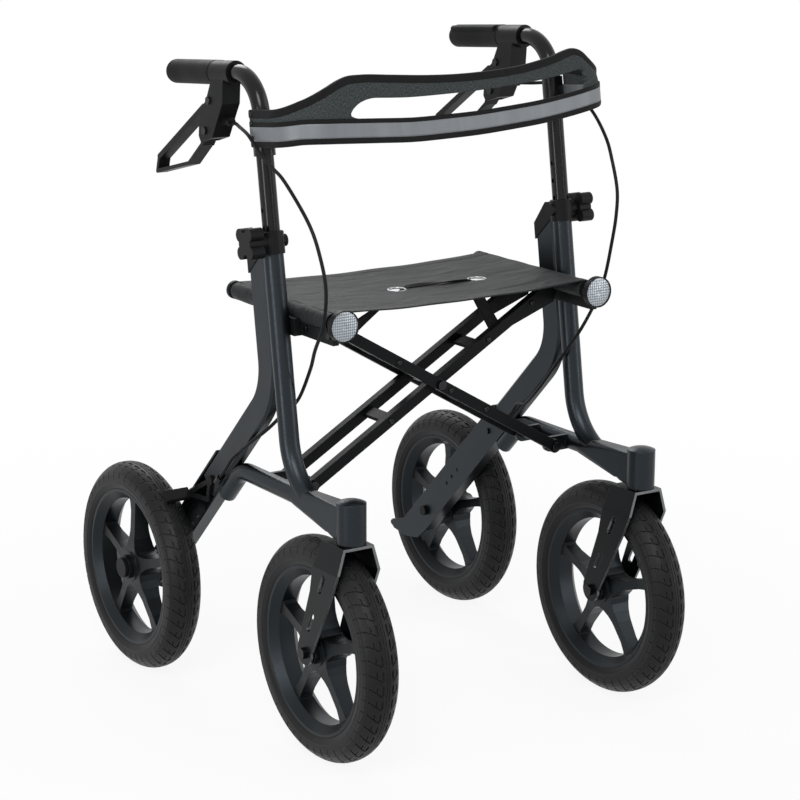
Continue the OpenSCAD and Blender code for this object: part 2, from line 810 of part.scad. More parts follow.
module hinge_pin(s) {
    l = hinge_pitch(s) + bar_t + 2 * gap;
    color(silver) on_side(s) translate([hinge_x, brace_y - l / 2, lower_z]) {
        rod_y(hinge_d, l);
        translate([0, -hinge_head_l, 0]) rod_y(hinge_head_d, hinge_head_l);
        translate([0, l, 0]) rod_y(hinge_head_d, hinge_head_l);
    }
}

// Fluted post in the tube, bent to the rear, with the moulded foot that carries the back band
module handle_post(s) {
    up = rise(s);
    foot = up - post_rise + foot_low;
    color(post_black) on_side(s) {
        at_mast() difference() {
            union() {
                translate([0, 0, -post_in]) cylinder(d = post_d, h = post_in + up);
                translate([0, 0, up]) rotate([180, 0, 0]) elbow(post_bend_r, post_turn) circle(d = post_d);
                translate([0, 0, foot]) cylinder(d = foot_d, h = foot_h);
            }
            translate([0, 0, -post_in - over]) cylinder(d = post_d - 2 * post_wall, h = post_in + foot);
            for (k = [0 : 3]) rotate(90 * k) translate([0, post_d / 2 + flute_d / 2 - flute_deep, -post_in - over])
                cylinder(d = flute_d, h = post_in + over + foot);
            for (k = [0 : hole_n - 1]) translate([0, 0, up - post_rise + hole_first - k * notch])
                rod_x(hole_d, 2 * post_d);
        }
        at_bar(s) translate([0, -over, 0]) rod_y(bar_d, bar_l + over);
    }
}

// Grip with a palm wing on its inner side
module grip(s) {
    r = grip_d / 2;
    color(black) on_side(s) at_bar(s) difference() {
        union() {
            translate([0, housing_band, 0]) rotate([-90, 0, 0]) rotate_extrude() {
                square([r, grip_l - grip_end]);
                square([r - grip_end, grip_l]);
                intersection() {
                    translate([r - grip_end, grip_l - grip_end]) circle(grip_end);
                    square([r, grip_l]);
                }
            }
            hull($fn = 32) {
                translate([0, housing_band + wing_r, r / 2]) rod_y(grip_d / 2, grip_l - r - wing_r);
                translate([-wing_out, housing_band + wing_r, wing_up]) rod_y(2 * wing_r, grip_l - r);
            }
        }
        rod_y(bar_d, bar_l);
    }
}

module brake_housing(s) {
    start = route_of(s)[0];
    color(black) difference() {
        on_side(s) at_bar(s) difference() {
            union() {
                slab(housing_w) soft_polygon(stretched(housing_shares, housing_deep, housing_deep), housing_round);
                translate([0, housing_fore, 0]) rod_y(band_d, housing_band - housing_fore);
                translate([0, boot_u, boot_w]) rotate([lean + post_turn - 90, 0, 0]) rod_y(boot_d, boot_l);
            }
            translate([0, housing_fore - over, 0]) rod_y(bar_d, housing_band - housing_fore + 2 * over);
            slab(lever_t + 2 * gap) polygon(stretched(slot_room_shares, housing_deep, housing_deep));
            translate([0, pin_u, pin_w]) rod_x(pin_d, 2 * housing_w);
            translate([0, bolt_u, bolt_w]) rod_x(pin_d, 2 * housing_w);
        }
        translate(start - [boot_d, boot_l, boot_d]) cube([2 * boot_d, boot_l, 2 * boot_d]);
    }
}

// Lever: a closed loop of flat strap, on an eye round its pin
module brake_lever(s) {
    p = stretched(lever_shares, lever_l, lever_l);
    color(black) on_side(s) at_bar(s) translate([0, pin_u, pin_w]) difference() {
        slab(lever_t) {
            strip(p[0], p[1], lever_up_w);
            strip(p[1], p[2], lever_tip_w);
            strip(p[2], p[3], lever_low_w);
            strip(p[3], p[4], lever_low_w);
            strip(p[4], [0, 0], lever_up_w);
            strip([0, 0], p[0], lever_up_w);
            circle(d = lever_eye_d);
        }
        rod_x(pin_d + 2 * fit, 2 * lever_t);
    }
}

module lever_pin(s) {
    color(silver) on_side(s) at_bar(s) for (at = [[pin_u, pin_w], [bolt_u, bolt_w]])
        translate([0, at[0], at[1]]) {
            rod_x(pin_d, housing_w + 2 * pin_head_l);
            for (k = [-1, 1]) translate([k * (housing_w + pin_head_l) / 2, 0, 0]) rod_x(pin_head_d, pin_head_l);
        }
}

// Rail tube with a plug in its rear end
module seat_rail(s) {
    color(black) on_side(s) translate([rail_x, -rail_fore, rail_z]) {
        difference() {
            rod_y(rail_d, rail_l);
            translate([0, -over, 0]) rod_y(rail_d - 2 * rail_wall, rail_l + 2 * over);
        }
        translate([0, rail_l - cap_in, 0]) rod_y(rail_d - 2 * rail_wall, cap_in);
        translate([0, rail_l, 0]) rod_y(rail_d + 2 * cap_over, cap_out);
    }
}

// Reflector: a cup on the front end of the rail, with a raised rim round the lens
module reflector(s) {
    color(silver) on_side(s) translate([rail_x, -rail_fore, rail_z]) difference() {
        union() {
            translate([0, -cup_l, 0]) rod_y(reflector_d, cup_l);
            rod_y(rail_d - 2 * rail_wall, cap_in);
        }
        translate([0, -cup_l - over, 0]) rod_y(reflector_d - 2 * lens_rim, over + lens_l);
    }
}

// Folded plate fork with slots in its legs
module fork(s) {
    bottom = axle_z - 2 * fork_eye_r;
    side = concat(stretched(fork_front_shares, fork_deep, fork_h), stretched(fork_back_shares, fork_deep, fork_h));
    color(frame_grey) on_side(s) translate([half_side, head_y, 0]) difference() {
        intersection() {
            across(2 * wheel_d) difference() {
                polygon([[-fork_out, bottom], [-fork_out, crown_z - shoulder_z], [-crown_half, crown_z],
                    [crown_half, crown_z], [fork_out, crown_z - shoulder_z], [fork_out, bottom]]);
                polygon([[-fork_in, bottom - over], [-fork_in, crown_z - shoulder_z - fork_fold],
                    [-crown_half + fork_t - fork_fold, crown_z - fork_t],
                    [crown_half - fork_t + fork_fold, crown_z - fork_t],
                    [fork_in, crown_z - shoulder_z - fork_fold], [fork_in, bottom - over]]);
            }
            slab(4 * fork_out) {
                translate([-fork_fore, axle_z]) polygon(side);
                translate([trail, axle_z]) circle(fork_eye_r);
            }
        }
        translate([0, trail, axle_z]) rod_x(axle_d, 4 * fork_out);
        cylinder(d = stem_d, h = collar_z);
        slab(4 * fork_out) for (q = stretched(fork_slot_shares, fork_deep, fork_h))
            translate([-fork_fore, axle_z])
            strip(q + [-fork_slot_l / 4, fork_slot_l / 2], q + [fork_slot_l / 4, -fork_slot_l / 2], fork_slot_d);
    }
}

module fork_stem(s) {
    color(silver) on_side(s) translate([half_side, head_y, crown_z]) {
        translate([0, 0, -fork_t]) cylinder(d = stem_d, h = fork_t + bearing_t + gap + stem_in);
        cylinder(d = bearing_d, h = bearing_t);
    }
}

module front_axle(s) {
    color(black) on_side(s) translate([half_side, front_y, axle_z]) {
        rod_x(axle_d, 2 * fork_out + axle_head_l);
        for (k = [-1, 1]) {
            translate([k * (fork_out + axle_head_l / 2), 0, 0]) rod_x(axle_head_d, axle_head_l);
            translate([k * (fork_in + hub_l / 2 + gap) / 2, 0, 0]) rod_x(spacer_d, fork_in - hub_l / 2 - gap);
        }
    }
}

// Tyre section: a round crown cut to the width, with two grooves round it
module tyre() {
    bead = rim_d / 2 - bead_in;
    color(rubber_black) rotate([0, 90, 0]) rotate_extrude($fn = 96) difference() {
        intersection() {
            translate([axle_z - tread_r, 0]) circle(tread_r);
            translate([bead, -tyre_w / 2]) square([axle_z - bead, tyre_w]);
        }
        translate([0, -rim_half]) square([rim_d / 2, 2 * rim_half]);
        for (g = groove_shares) translate([axle_z - tread_r + sqrt(tread_r * tread_r - pow(g * tyre_w, 2))
            - groove_deep, g * tyre_w - groove_w / 2]) square([2 * groove_deep, groove_w]);
    }
}

// Outline that runs along X, the same on both sides of it
module both_sides(edge) {
    n = len(edge) - 1;
    polygon(concat(edge, [for (i = [n : -1 : 0]) [edge[i][0], -edge[i][1]]]));
}

// Rim: a dished barrel, blades that spread at their roots, a stepped hub and the valve
module rim() {
    r = rim_d / 2;
    inner = r - rim_well - rim_t;
    reach = inner + rim_t / 2;
    width = stretched(spoke_width_shares, reach, spoke_w);
    depth = stretched(spoke_deep_shares, reach, spoke_deep);
    color(frame_grey) rotate([0, 90, 0]) difference() {
        union() {
            rotate_extrude($fn = 96) polygon([[r, rim_half], [r - rim_t, rim_half], [inner, rim_half - rim_well],
                [inner, rim_well - rim_half], [r - rim_t, -rim_half], [r, -rim_half], [r, rim_lip - rim_half],
                [r - rim_well, rim_lip + rim_t - rim_half], [r - rim_well, rim_half - rim_lip - rim_t],
                [r, rim_half - rim_lip]]);
            cylinder(d = hub_end_d, h = hub_l, center = true);
            cylinder(d = hub_d, h = hub_l - 2 * hub_step, center = true);
            for (k = [0 : spoke_n - 1]) rotate(180 + 360 * k / spoke_n) intersection() {
                linear_extrude(hub_l, center = true) both_sides(width);
                rotate([90, 0, 0]) linear_extrude(hub_l, center = true) both_sides(depth);
            }
            rotate(180 + valve_angle) translate([reach, 0, 0]) rotate([0, -90, 0])
                cylinder(d = valve_d, h = valve_l);
        }
        cylinder(d = axle_d + 2 * fit, h = 2 * hub_l, center = true);
    }
}

module front_wheel_place(s) {
    on_side(s) translate([half_side, front_y, axle_z]) children();
}

module rear_wheel_place(s) {
    on_side(s) translate([half_side + rear_offset, rear_y, axle_z]) children();
}

// Ends and direction of a bar in its plane, from the lower hinge on one side to the rail on the other
bar_low = [-hinge_x, lower_z];
bar_high = [rail_x, rail_z];
bar_along = (bar_high - bar_low) / norm(bar_high - bar_low);
bar_down = [bar_along[1], -bar_along[0]];

// Outline of a bar, grown by some room where something is to clear it
module bar_shape(gusset, room) {
    strip(bar_low, bar_high, bar_h + 2 * room);
    if (gusset) soft_polygon([bar_high - gusset_share * (bar_high - bar_low), bar_high,
        bar_high + bar_down * gusset_nose - bar_along * gusset_nose / 2,
        bar_high + bar_down * gusset_h - bar_along * gusset_h], gusset_round + room);
}

// The two places of a pair of bars
module at_pair(pitch) {
    for (k = [-1, 1]) translate([0, brace_y + k * pitch / 2, 0]) children();
}

// A pair of cross bars
module bar_pair(pitch, gusset) {
    mid = [0, pivot_z];
    difference() {
        union() {
            at_pair(pitch) across(bar_t) {
                bar_shape(gusset, 0);
                translate(bar_low) circle(eye_r);
            }
            for (k = [-1, 1]) translate([0, brace_y, 0]) across(pitch)
                strip(mid + bar_along * (k * plate_at - plate_l / 2),
                    mid + bar_along * (k * plate_at + plate_l / 2), plate_t);
        }
        translate([rail_x, brace_y - outer_pitch, rail_z]) rod_y(rail_d, 2 * outer_pitch);
        for (at = [bar_low, mid]) translate([at[0], brace_y - outer_pitch, at[1]])
            rod_y((at == mid ? pivot_d : hinge_d) + 2 * fit, 2 * outer_pitch);
    }
}

module cross_bars_a() {
    color(frame_grey) on_side(right) bar_pair(outer_pitch, false);
}

module cross_bars_b() {
    color(frame_grey) bar_pair(inner_pitch, true);
}

module pivot_bolt() {
    l = outer_pitch + bar_t + 2 * gap;
    color(silver) translate([0, brace_y - l / 2, pivot_z]) {
        rod_y(pivot_d, l);
        for (y = [-pivot_head_l, l]) translate([0, y, 0]) rod_y(pivot_head_d, pivot_head_l);
    }
}

// Sling: a sheet that sags between sleeves on the two rails, with two slots for a pull strap
module seat_sling() {
    top = rail_z + sleeve_r;
    sag_r = (rail_x * rail_x + seat_sag * seat_sag) / (2 * seat_sag);
    y_mid = seat_back - seat_l / 2;
    color(cloth_grey) difference() {
        translate([0, y_mid, 0]) across(seat_l) difference() {
            union() {
                for (k = [-1, 1]) translate([k * rail_x, rail_z]) circle(sleeve_r);
                intersection() {
                    translate([0, top - seat_sag + sag_r]) difference() {
                        circle(sag_r, $fn = 256);
                        circle(sag_r - seat_t, $fn = 256);
                    }
                    translate([-rail_x, top - seat_sag - 2 * seat_t]) square([2 * rail_x, 2 * seat_sag + 2 * seat_t]);
                }
            }
            for (k = [-1, 1]) translate([k * rail_x, rail_z]) circle(rail_d / 2 + sleeve_gap);
        }
        on_side(right) at_pair(outer_pitch) across(bar_t + 2 * gap) bar_shape(false, gap);
        at_pair(inner_pitch) across(bar_t + 2 * gap) bar_shape(true, gap);
        for (p = strap_slots) translate([p[0], p[1], rail_z]) linear_extrude(sleeve_r + over)
            strip([-strap_slot_l / 2, 0], [strap_slot_l / 2, 0], strap_slot_w);
    }
}

// Back band: a U in plan that hugs the feet on the posts, cut to its front outline
module backrest() {
    outline = concat([[-back_half, 0], [back_half, 0]], stretched(back_top_shares, back_half, back_h));
    depth = back_fore + back_loop + back_t;
    color(cloth_grey) difference() {
        intersection() {
            translate([0, -collar_fore, collar_z]) rotate([-lean, 0, 0]) linear_extrude(2 * post_rise + back_h)
                difference() {
                    union() {
                        translate([0, (depth + back_r) / 2 - back_fore]) difference() {
                            round_rect(2 * back_half, depth + back_r, back_r);
                            round_rect(2 * (back_half - back_t), depth + back_r - 2 * back_t, back_r - back_t);
                            translate([-back_half, (back_fore - depth - back_r) / 2 + back_fore / 2])
                                square([2 * back_half, depth + back_r]);
                        }
                        for (k = [-1, 1]) translate([k * half_side, 0]) circle(back_loop + back_t);
                    }
                    for (k = [-1, 1]) translate([k * half_side, 0]) circle(back_loop);
                }
            translate([0, -collar_fore, back_z]) rotate([0, -atan(band_tilt_share), 0]) across(4 * back_fore)
                polygon(outline);
        }
        translate([0, -collar_fore - back_fore, back_z + slot_low]) rotate([0, -atan(band_tilt_share), 0])
            across(back_fore) polygon(stretched(slot_shares, back_half, slot_h));
        for (s = [left, right]) on_side(s) at_mast() translate([-2 * back_loop, -2 * back_loop, rise(s) + loop_over])
            cube([3 * back_loop + sleeve_gap, 4 * back_loop, 2 * back_h]);
    }
}

front_tube(left);  // front_tube_left
front_tube(right);  // front_tube_right
rear_leg(left);  // rear_leg_left
rear_leg(right);  // rear_leg_right
lower_tube(left);  // lower_tube_left
lower_tube(right);  // lower_tube_right
caster_head(left);  // caster_head_left
caster_head(right);  // caster_head_right
collar(left);  // collar_left
collar(right);  // collar_right
clamp_knob(left);  // clamp_knob_left
clamp_knob(right);  // clamp_knob_right
rail_saddle(left);  // rail_saddle_left
rail_saddle(right);  // rail_saddle_right
axle_bracket(left);  // axle_bracket_left
axle_bracket(right);  // axle_bracket_right
frame_bolts(left);  // frame_bolts_left
frame_bolts(right);  // frame_bolts_right
rear_axle(left);  // rear_axle_left
rear_axle(right);  // rear_axle_right
brake_arm(left);  // brake_arm_left
brake_arm(right);  // brake_arm_right
brake_cable(left);  // brake_cable_left
brake_cable(right);  // brake_cable_right
hinge_pin(left);  // hinge_pin_left
hinge_pin(right);  // hinge_pin_right
handle_post(left);  // handle_post_left
handle_post(right);  // handle_post_right
grip(left);  // grip_left
grip(right);  // grip_right
brake_housing(left);  // brake_housing_left
brake_housing(right);  // brake_housing_right
brake_lever(left);  // brake_lever_left
brake_lever(right);  // brake_lever_right
lever_pin(left);  // lever_pin_left
lever_pin(right);  // lever_pin_right
seat_rail(left);  // seat_rail_left
seat_rail(right);  // seat_rail_right
reflector(left);  // reflector_left
reflector(right);  // reflector_right
fork(left);  // fork_left
fork(right);  // fork_right
fork_stem(left);  // fork_stem_left
fork_stem(right);  // fork_stem_right
front_axle(left);  // front_axle_left
front_axle(right);  // front_axle_right
front_wheel_place(left) tyre();  // front_tyre_left
front_wheel_place(right) tyre();  // front_tyre_right
front_wheel_place(left) rim();  // front_rim_left
front_wheel_place(right) rim();  // front_rim_right
rear_wheel_place(left) tyre();  // rear_tyre_left
rear_wheel_place(right) tyre();  // rear_tyre_right
rear_wheel_place(left) rim();  // rear_rim_left
rear_wheel_place(right) rim();  // rear_rim_right
cross_bars_a();
cross_bars_b();
pivot_bolt();
seat_sling();
backrest();
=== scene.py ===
"""All terrain rollator: studio, materials, cloth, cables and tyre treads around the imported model."""
import json
import math

import bpy
import numpy as np
from mathutils import Matrix, Vector

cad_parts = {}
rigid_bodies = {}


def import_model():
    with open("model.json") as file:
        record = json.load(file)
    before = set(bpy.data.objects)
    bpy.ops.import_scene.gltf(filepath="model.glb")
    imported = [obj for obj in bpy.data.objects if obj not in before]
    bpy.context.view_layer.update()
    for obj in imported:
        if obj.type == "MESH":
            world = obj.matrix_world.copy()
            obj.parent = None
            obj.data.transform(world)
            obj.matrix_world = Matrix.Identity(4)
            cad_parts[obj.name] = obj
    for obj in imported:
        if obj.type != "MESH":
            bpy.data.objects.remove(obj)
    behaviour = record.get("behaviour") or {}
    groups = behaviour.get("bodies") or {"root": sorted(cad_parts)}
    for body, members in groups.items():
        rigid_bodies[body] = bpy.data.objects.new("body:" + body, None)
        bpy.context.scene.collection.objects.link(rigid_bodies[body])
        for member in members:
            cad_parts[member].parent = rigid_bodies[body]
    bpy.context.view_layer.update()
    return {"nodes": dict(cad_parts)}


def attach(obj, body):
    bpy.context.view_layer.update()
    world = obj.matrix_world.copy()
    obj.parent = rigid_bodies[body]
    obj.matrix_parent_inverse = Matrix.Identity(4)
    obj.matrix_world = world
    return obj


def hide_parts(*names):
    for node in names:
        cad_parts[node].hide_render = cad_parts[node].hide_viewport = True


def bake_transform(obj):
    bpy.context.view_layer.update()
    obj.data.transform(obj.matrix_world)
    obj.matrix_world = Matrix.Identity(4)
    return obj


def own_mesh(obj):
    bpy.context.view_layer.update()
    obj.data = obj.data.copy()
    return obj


for spare in list(bpy.data.objects):
    bpy.data.objects.remove(spare)
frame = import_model()
scene = bpy.context.scene
NODES = frame["nodes"]
SIDES = {"left": 1, "right": -1}
MM = 0.001
TINY = 1e-6

# Sizes that the cloth, cables and treads share with the part, in millimetres
HALF_SIDE = 244
WHEEL_BASE = 464
TYRE_R = 157.5
REAR_OFFSET = 42
COLLAR_Y, COLLAR_Z = -98, 712.5
LEAN = math.radians(8.5)
RAIL_X, RAIL_Z = 212, 601
SLEEVE_R = 12.1
SEAT_FRONT, SEAT_BACK, SEAT_SAG = -204, 50, 8
BRACE_Y = -100
HINGE_X, HINGE_Z = 204, 357
BAR_PITCH = {"left": 62, "right": 88}
BACK_Z, BACK_TILT = 837, 0.045
BACK_FORE, BACK_R, BACK_T = 125, 66, 7
BACK_HALF = 266.3
CABLE_D = 5
CABLES = {
    "right": [
        (-244, 6, 847), (-244, 2, 847), (-244, -2, 847), (-250, -18, 848), (-265, -50, 850),
        (-272, -85, 844), (-273, -103, 834), (-270, -119, 819), (-262, -133, 804), (-253, -152, 785),
        (-247, -202, 736), (-245, -227, 693), (-244, -238, 652), (-243, -229, 606), (-239, -201, 566),
        (-228, -170, 532), (-218, -122, 480), (-231, -104, 458), (-245, -85.5, 434), (-257, -48, 403.6),
        (-258, -9.8, 378.1), (-258, 10.7, 357.6), (-258, 30.5, 337.8),
    ],
    "left": [
        (244, 10, 872), (244, 6, 872), (244, 2, 872), (250, -14, 873), (265, -46, 875),
        (272, -85, 868), (272, -132, 843), (264, -175, 811), (259, -197, 781), (256, -214, 741),
        (253, -217, 706), (251, -212, 669), (248, -200, 612), (241, -186, 571), (233, -168, 534),
        (225, -152, 507), (217, -126, 470), (216, -92, 432), (222, -50.1, 398.6), (228, -21.9, 391.6),
        (230, -7, 376.7), (230, 1.5, 368.2), (230, 10, 359.7),
    ],
}

# Camera at the photograph's place, in metres
CAMERA_AT = (-1.836792, -2.828693, 1.275678)
CAMERA_RIGHT = (0.835113, -0.550072, 0.002728)
CAMERA_UP = (0.132601, 0.206122, 0.9695)
CAMERA_AHEAD = (0.533857, 0.80928, -0.245076)
CAMERA_LENS, CAMERA_SENSOR, CAMERA_REACH = 106.744, 36, 100


def place_camera():
    data = bpy.data.cameras.new("camera")
    data.sensor_width = CAMERA_SENSOR
    data.sensor_fit = "HORIZONTAL"
    data.lens = CAMERA_LENS
    data.clip_end = CAMERA_REACH
    camera = bpy.data.objects.new("camera", data)
    scene.collection.objects.link(camera)
    turn = Matrix((CAMERA_RIGHT, CAMERA_UP, -Vector(CAMERA_AHEAD))).transposed().to_4x4()
    camera.matrix_world = Matrix.Translation(CAMERA_AT) @ turn
    scene.camera = camera


place_camera()


# Node helpers
def add(tree, kind, inputs=None, **settings):
    made = tree.nodes.new(kind)
    for key, value in settings.items():
        setattr(made, key, value)
    for key, value in (inputs or {}).items():
        if isinstance(value, bpy.types.NodeSocket):
            tree.links.new(value, made.inputs[key])
        else:
            made.inputs[key].default_value = value
    return made


def new_material(name, **sockets):
    material = bpy.data.materials.new(name)
    material.use_nodes = True
    tree = material.node_tree
    shader = tree.nodes["Principled BSDF"]
    for key, value in sockets.items():
        shader.inputs[key.replace("_", " ")].default_value = value
    return material, tree, shader


def wire(tree, shader, **sockets):
    for key, source in sockets.items():
        tree.links.new(source, shader.inputs[key.replace("_", " ")])


def coordinates(tree, kind):
    return add(tree, "ShaderNodeTexCoord").outputs[kind]


def noise(tree, place, scale, detail, distortion=0.0):
    inputs = {"Vector": place, "Scale": scale, "Detail": detail, "Distortion": distortion}
    return add(tree, "ShaderNodeTexNoise", inputs).outputs["Fac"]


def stretched(tree, place, along, across, turn=0.0):
    inputs = {"Vector": place, "Rotation": (0, 0, turn), "Scale": (along, across, 1.0)}
    return add(tree, "ShaderNodeMapping", inputs).outputs[0]


def maths(tree, operation, a, b):
    return add(tree, "ShaderNodeMath", {0: a, 1: b}, operation=operation).outputs[0]


def ramp(tree, source, stops):
    made = add(tree, "ShaderNodeValToRGB", {"Fac": source})
    elements = made.color_ramp.elements
    while len(elements) < len(stops):
        elements.new(0.5)
    for element, (place, colour) in zip(elements, stops):
        element.position = place
        element.color = (*colour, 1)
    return made.outputs["Color"]


def spread(tree, source, low, high, start=0.0, stop=1.0):
    """Maps the source's range from start to stop onto the range from low to high."""
    inputs = {"Value": source, "From Min": start, "From Max": stop, "To Min": low, "To Max": high}
    return add(tree, "ShaderNodeMapRange", inputs).outputs["Result"]


def relief(tree, height, strength, distance, under=None, invert=False):
    inputs = {"Strength": strength, "Distance": distance, "Height": height}
    if under is not None:
        inputs["Normal"] = under
    return add(tree, "ShaderNodeBump", inputs, invert=invert).outputs["Normal"]


def scaled(colour, k):
    return tuple(min(1.0, c * k) for c in colour)


# Hard surface: colour speckle, blotchy roughness, fine grain, softened edges, and a painted highlight that
# makes the edges paler
EDGE_R, EDGE_SAMPLES, EDGE_BEND = 0.0009, 4, (0.9, 0.99)
SPECKLE_SPAN, GRAIN_HEIGHT = (0.3, 0.7), 0.0004
BLOTCH_SCALE, BLOTCH_SPAN = 14.0, (0.35, 0.65)
ROUGH_LEAST, ROUGH_MOST, COAT_ROUGH = 0.88, 1.12, 0.12


def hard(name, colour, rough, grain, depth, vary=0.12, metallic=0.0, coat=0.0, edge_highlight_gain=1.5, specular=0.25):
    material, tree, shader = new_material(name, Metallic=metallic, Coat_Weight=coat,
                                          Coat_Roughness=COAT_ROUGH, Specular_IOR_Level=specular)
    place = coordinates(tree, "Object")
    fine = noise(tree, place, grain, detail=2.0)
    broad = noise(tree, place, BLOTCH_SCALE, detail=4.0)
    tones = (scaled(colour, 1 - vary), scaled(colour, 1 + vary))
    speckle = ramp(tree, fine, list(zip(SPECKLE_SPAN, tones)))
    rounded = add(tree, "ShaderNodeBevel", {"Radius": EDGE_R}, samples=EDGE_SAMPLES).outputs["Normal"]
    plain = add(tree, "ShaderNodeNewGeometry").outputs["Normal"]
    bend = add(tree, "ShaderNodeVectorMath", {0: rounded, 1: plain}, operation="DOT_PRODUCT")
    # Painted highlight: where the bevelled normal turns away from the plain one, the colour is made paler
    # by a gain
    edge_highlight = spread(tree, bend.outputs["Value"], 1.0, 0.0, *EDGE_BEND)
    shades = {"Factor": edge_highlight, "A": speckle, "B": (*scaled(colour, edge_highlight_gain), 1)}
    mixed = add(tree, "ShaderNodeMix", shades, data_type="RGBA")
    wire(tree, shader, Base_Color=mixed.outputs["Result"],
         Roughness=spread(tree, broad, rough * ROUGH_LEAST, rough * ROUGH_MOST, *BLOTCH_SPAN),
         Normal=relief(tree, fine, depth, GRAIN_HEIGHT, rounded))
    return material


# Woven cloth: flecked yarn along and across, with the threads and drawn folds in relief
YARN_LONG, YARN_SHORT, YARN_SPAN = 0.45, 2.2, (0.8, 1.2)
YARN_MIDDLE, YARN_MIDDLE_GAIN = 0.55, 1.5
THREAD_STRENGTH, THREAD_HEIGHT, FOLD_HEIGHT = 0.35, 0.0004, 0.012
FOLD_ALONG, FOLD_ACROSS, FOLD_TURN, FOLD_WANDER = 14.0, 34.0, 0.5, 0.6
WAVES_PER_SCALE = 20


def cloth(name, dark, light, fleck, thread=0.0009, rough=0.86, specular=0.1, crumple=0.1):
    material, tree, shader = new_material(name, Roughness=rough, Sheen_Weight=0.03, Sheen_Roughness=0.5,
                                          Specular_IOR_Level=specular)
    place = coordinates(tree, "UV")
    weft = noise(tree, stretched(tree, place, fleck * YARN_LONG, fleck * YARN_SHORT), 1.0, detail=3.0)
    warp = noise(tree, stretched(tree, place, fleck * YARN_SHORT, fleck * YARN_LONG), 1.0, detail=3.0)
    yarn = spread(tree, maths(tree, "ADD", weft, warp), 0.0, 1.0, *YARN_SPAN)
    shade = ramp(tree, yarn, [(0.0, dark), (YARN_MIDDLE, scaled(dark, YARN_MIDDLE_GAIN)), (1.0, light)])
    pitch = {"Vector": place, "Scale": 2 * math.pi / (WAVES_PER_SCALE * thread)}
    waves = [add(tree, "ShaderNodeTexWave", pitch, bands_direction=d).outputs["Fac"] for d in ("X", "Y")]
    weave = maths(tree, "MULTIPLY", *waves)
    drawn = stretched(tree, place, FOLD_ALONG, FOLD_ACROSS, FOLD_TURN)
    creases = noise(tree, drawn, 1.0, detail=3.0, distortion=FOLD_WANDER)
    folds = relief(tree, creases, crumple, FOLD_HEIGHT)
    wire(tree, shader, Base_Color=shade,
         Normal=relief(tree, weave, THREAD_STRENGTH, THREAD_HEIGHT, folds))
    return material


# Silver tape of tiny beads, with faint upright bands
TAPE_TONES = ((0.168, 0.18, 0.193), (0.202, 0.215, 0.228))
TAPE_ALONG, TAPE_ACROSS, TAPE_ROUGH = 38.0, 2.0, (0.38, 0.55)
BEAD_SCALE, BEAD_STRENGTH, BEAD_HEIGHT = 1600.0, 0.25, 0.0002


def tape(name):
    material, tree, shader = new_material(name, Metallic=0.25, Specular_IOR_Level=0.3)
    place = coordinates(tree, "UV")
    broad = noise(tree, stretched(tree, place, TAPE_ALONG, TAPE_ACROSS), 1.0, detail=2.0)
    beads = add(tree, "ShaderNodeTexVoronoi", {"Vector": place, "Scale": BEAD_SCALE}).outputs["Distance"]
    wire(tree, shader, Base_Color=ramp(tree, broad, list(zip(SPECKLE_SPAN, TAPE_TONES))),
         Roughness=spread(tree, beads, *TAPE_ROUGH),
         Normal=relief(tree, beads, BEAD_STRENGTH, BEAD_HEIGHT))
    return material


# Prismatic lens: rows of small bright dots on silver
DOT_STOPS = ((0.1, (0.5, 0.54, 0.57)), (0.34, (0.33, 0.37, 0.4)), (0.5, (0.16, 0.18, 0.2)))
DOT_ROUGH, DOT_SPAN = (0.15, 0.4), (0.0, 0.5)
DOT_SCALE, DOT_STRENGTH, DOT_HEIGHT = 300.0, 0.5, 0.0006


def prism(name):
    material, tree, shader = new_material(name, Metallic=0.35, Coat_Weight=0.3, Coat_Roughness=0.2)
    cells = {"Vector": coordinates(tree, "UV"), "Scale": DOT_SCALE, "Randomness": 0.0}
    dots = add(tree, "ShaderNodeTexVoronoi", cells).outputs["Distance"]
    wire(tree, shader, Base_Color=ramp(tree, dots, DOT_STOPS),
         Roughness=spread(tree, dots, *DOT_ROUGH, *DOT_SPAN),
         Normal=relief(tree, dots, DOT_STRENGTH, DOT_HEIGHT, invert=True))
    return material


# In the hard materials below, the paler edges are a painted highlight, made strongest on the bars, fork
# plates and tyres
PAINT = hard("frame_paint", (0.026, 0.031, 0.0355), 0.34, grain=1500, depth=0.03, metallic=0.9, vary=0.25)
RIM = hard("rim_paint", (0.019, 0.0225, 0.0255), 0.38, grain=1300, depth=0.04, metallic=0.85, vary=0.2)
PLATE = hard("fork_plate", (0.008, 0.0087, 0.0097), 0.3, grain=1200, depth=0.02, metallic=0.5, edge_highlight_gain=5.0,
             specular=0.15)
# Painted highlight: a paler material for the forward-facing faces of the fork plates
FORK_FRONT_HIGHLIGHT = hard("plate_edge_painted_highlight", (0.15, 0.157, 0.163), 0.36, grain=1400, depth=0.04, metallic=0.6)
GLOSS = hard("post_gloss", (0.004, 0.004, 0.0045), 0.18, grain=900, depth=0.01, coat=0.1, specular=0.2)
PLASTIC = hard("moulded_black", (0.0065, 0.0067, 0.0074), 0.44, grain=1100, depth=0.12, specular=0.12)
BAR = hard("bar_black", (0.006, 0.0064, 0.0072), 0.42, grain=1400, depth=0.03, metallic=0.1, edge_highlight_gain=7.0,
           specular=0.08)
RUBBER = hard("grip_rubber", (0.0072, 0.0072, 0.0078), 0.58, grain=900, depth=0.2, specular=0.12)
TYRE = hard("tyre_rubber", (0.0085, 0.0085, 0.0088), 0.44, grain=420, depth=0.06, vary=0.15, edge_highlight_gain=3.0,
            specular=0.17)
SHEATH = hard("cable_sheath", (0.006, 0.006, 0.007), 0.4, grain=600, depth=0.03, specular=0.12)
STEEL = hard("bolt_steel", (0.026, 0.026, 0.0275), 0.3, grain=800, depth=0.05, metallic=0.9, edge_highlight_gain=2.0)
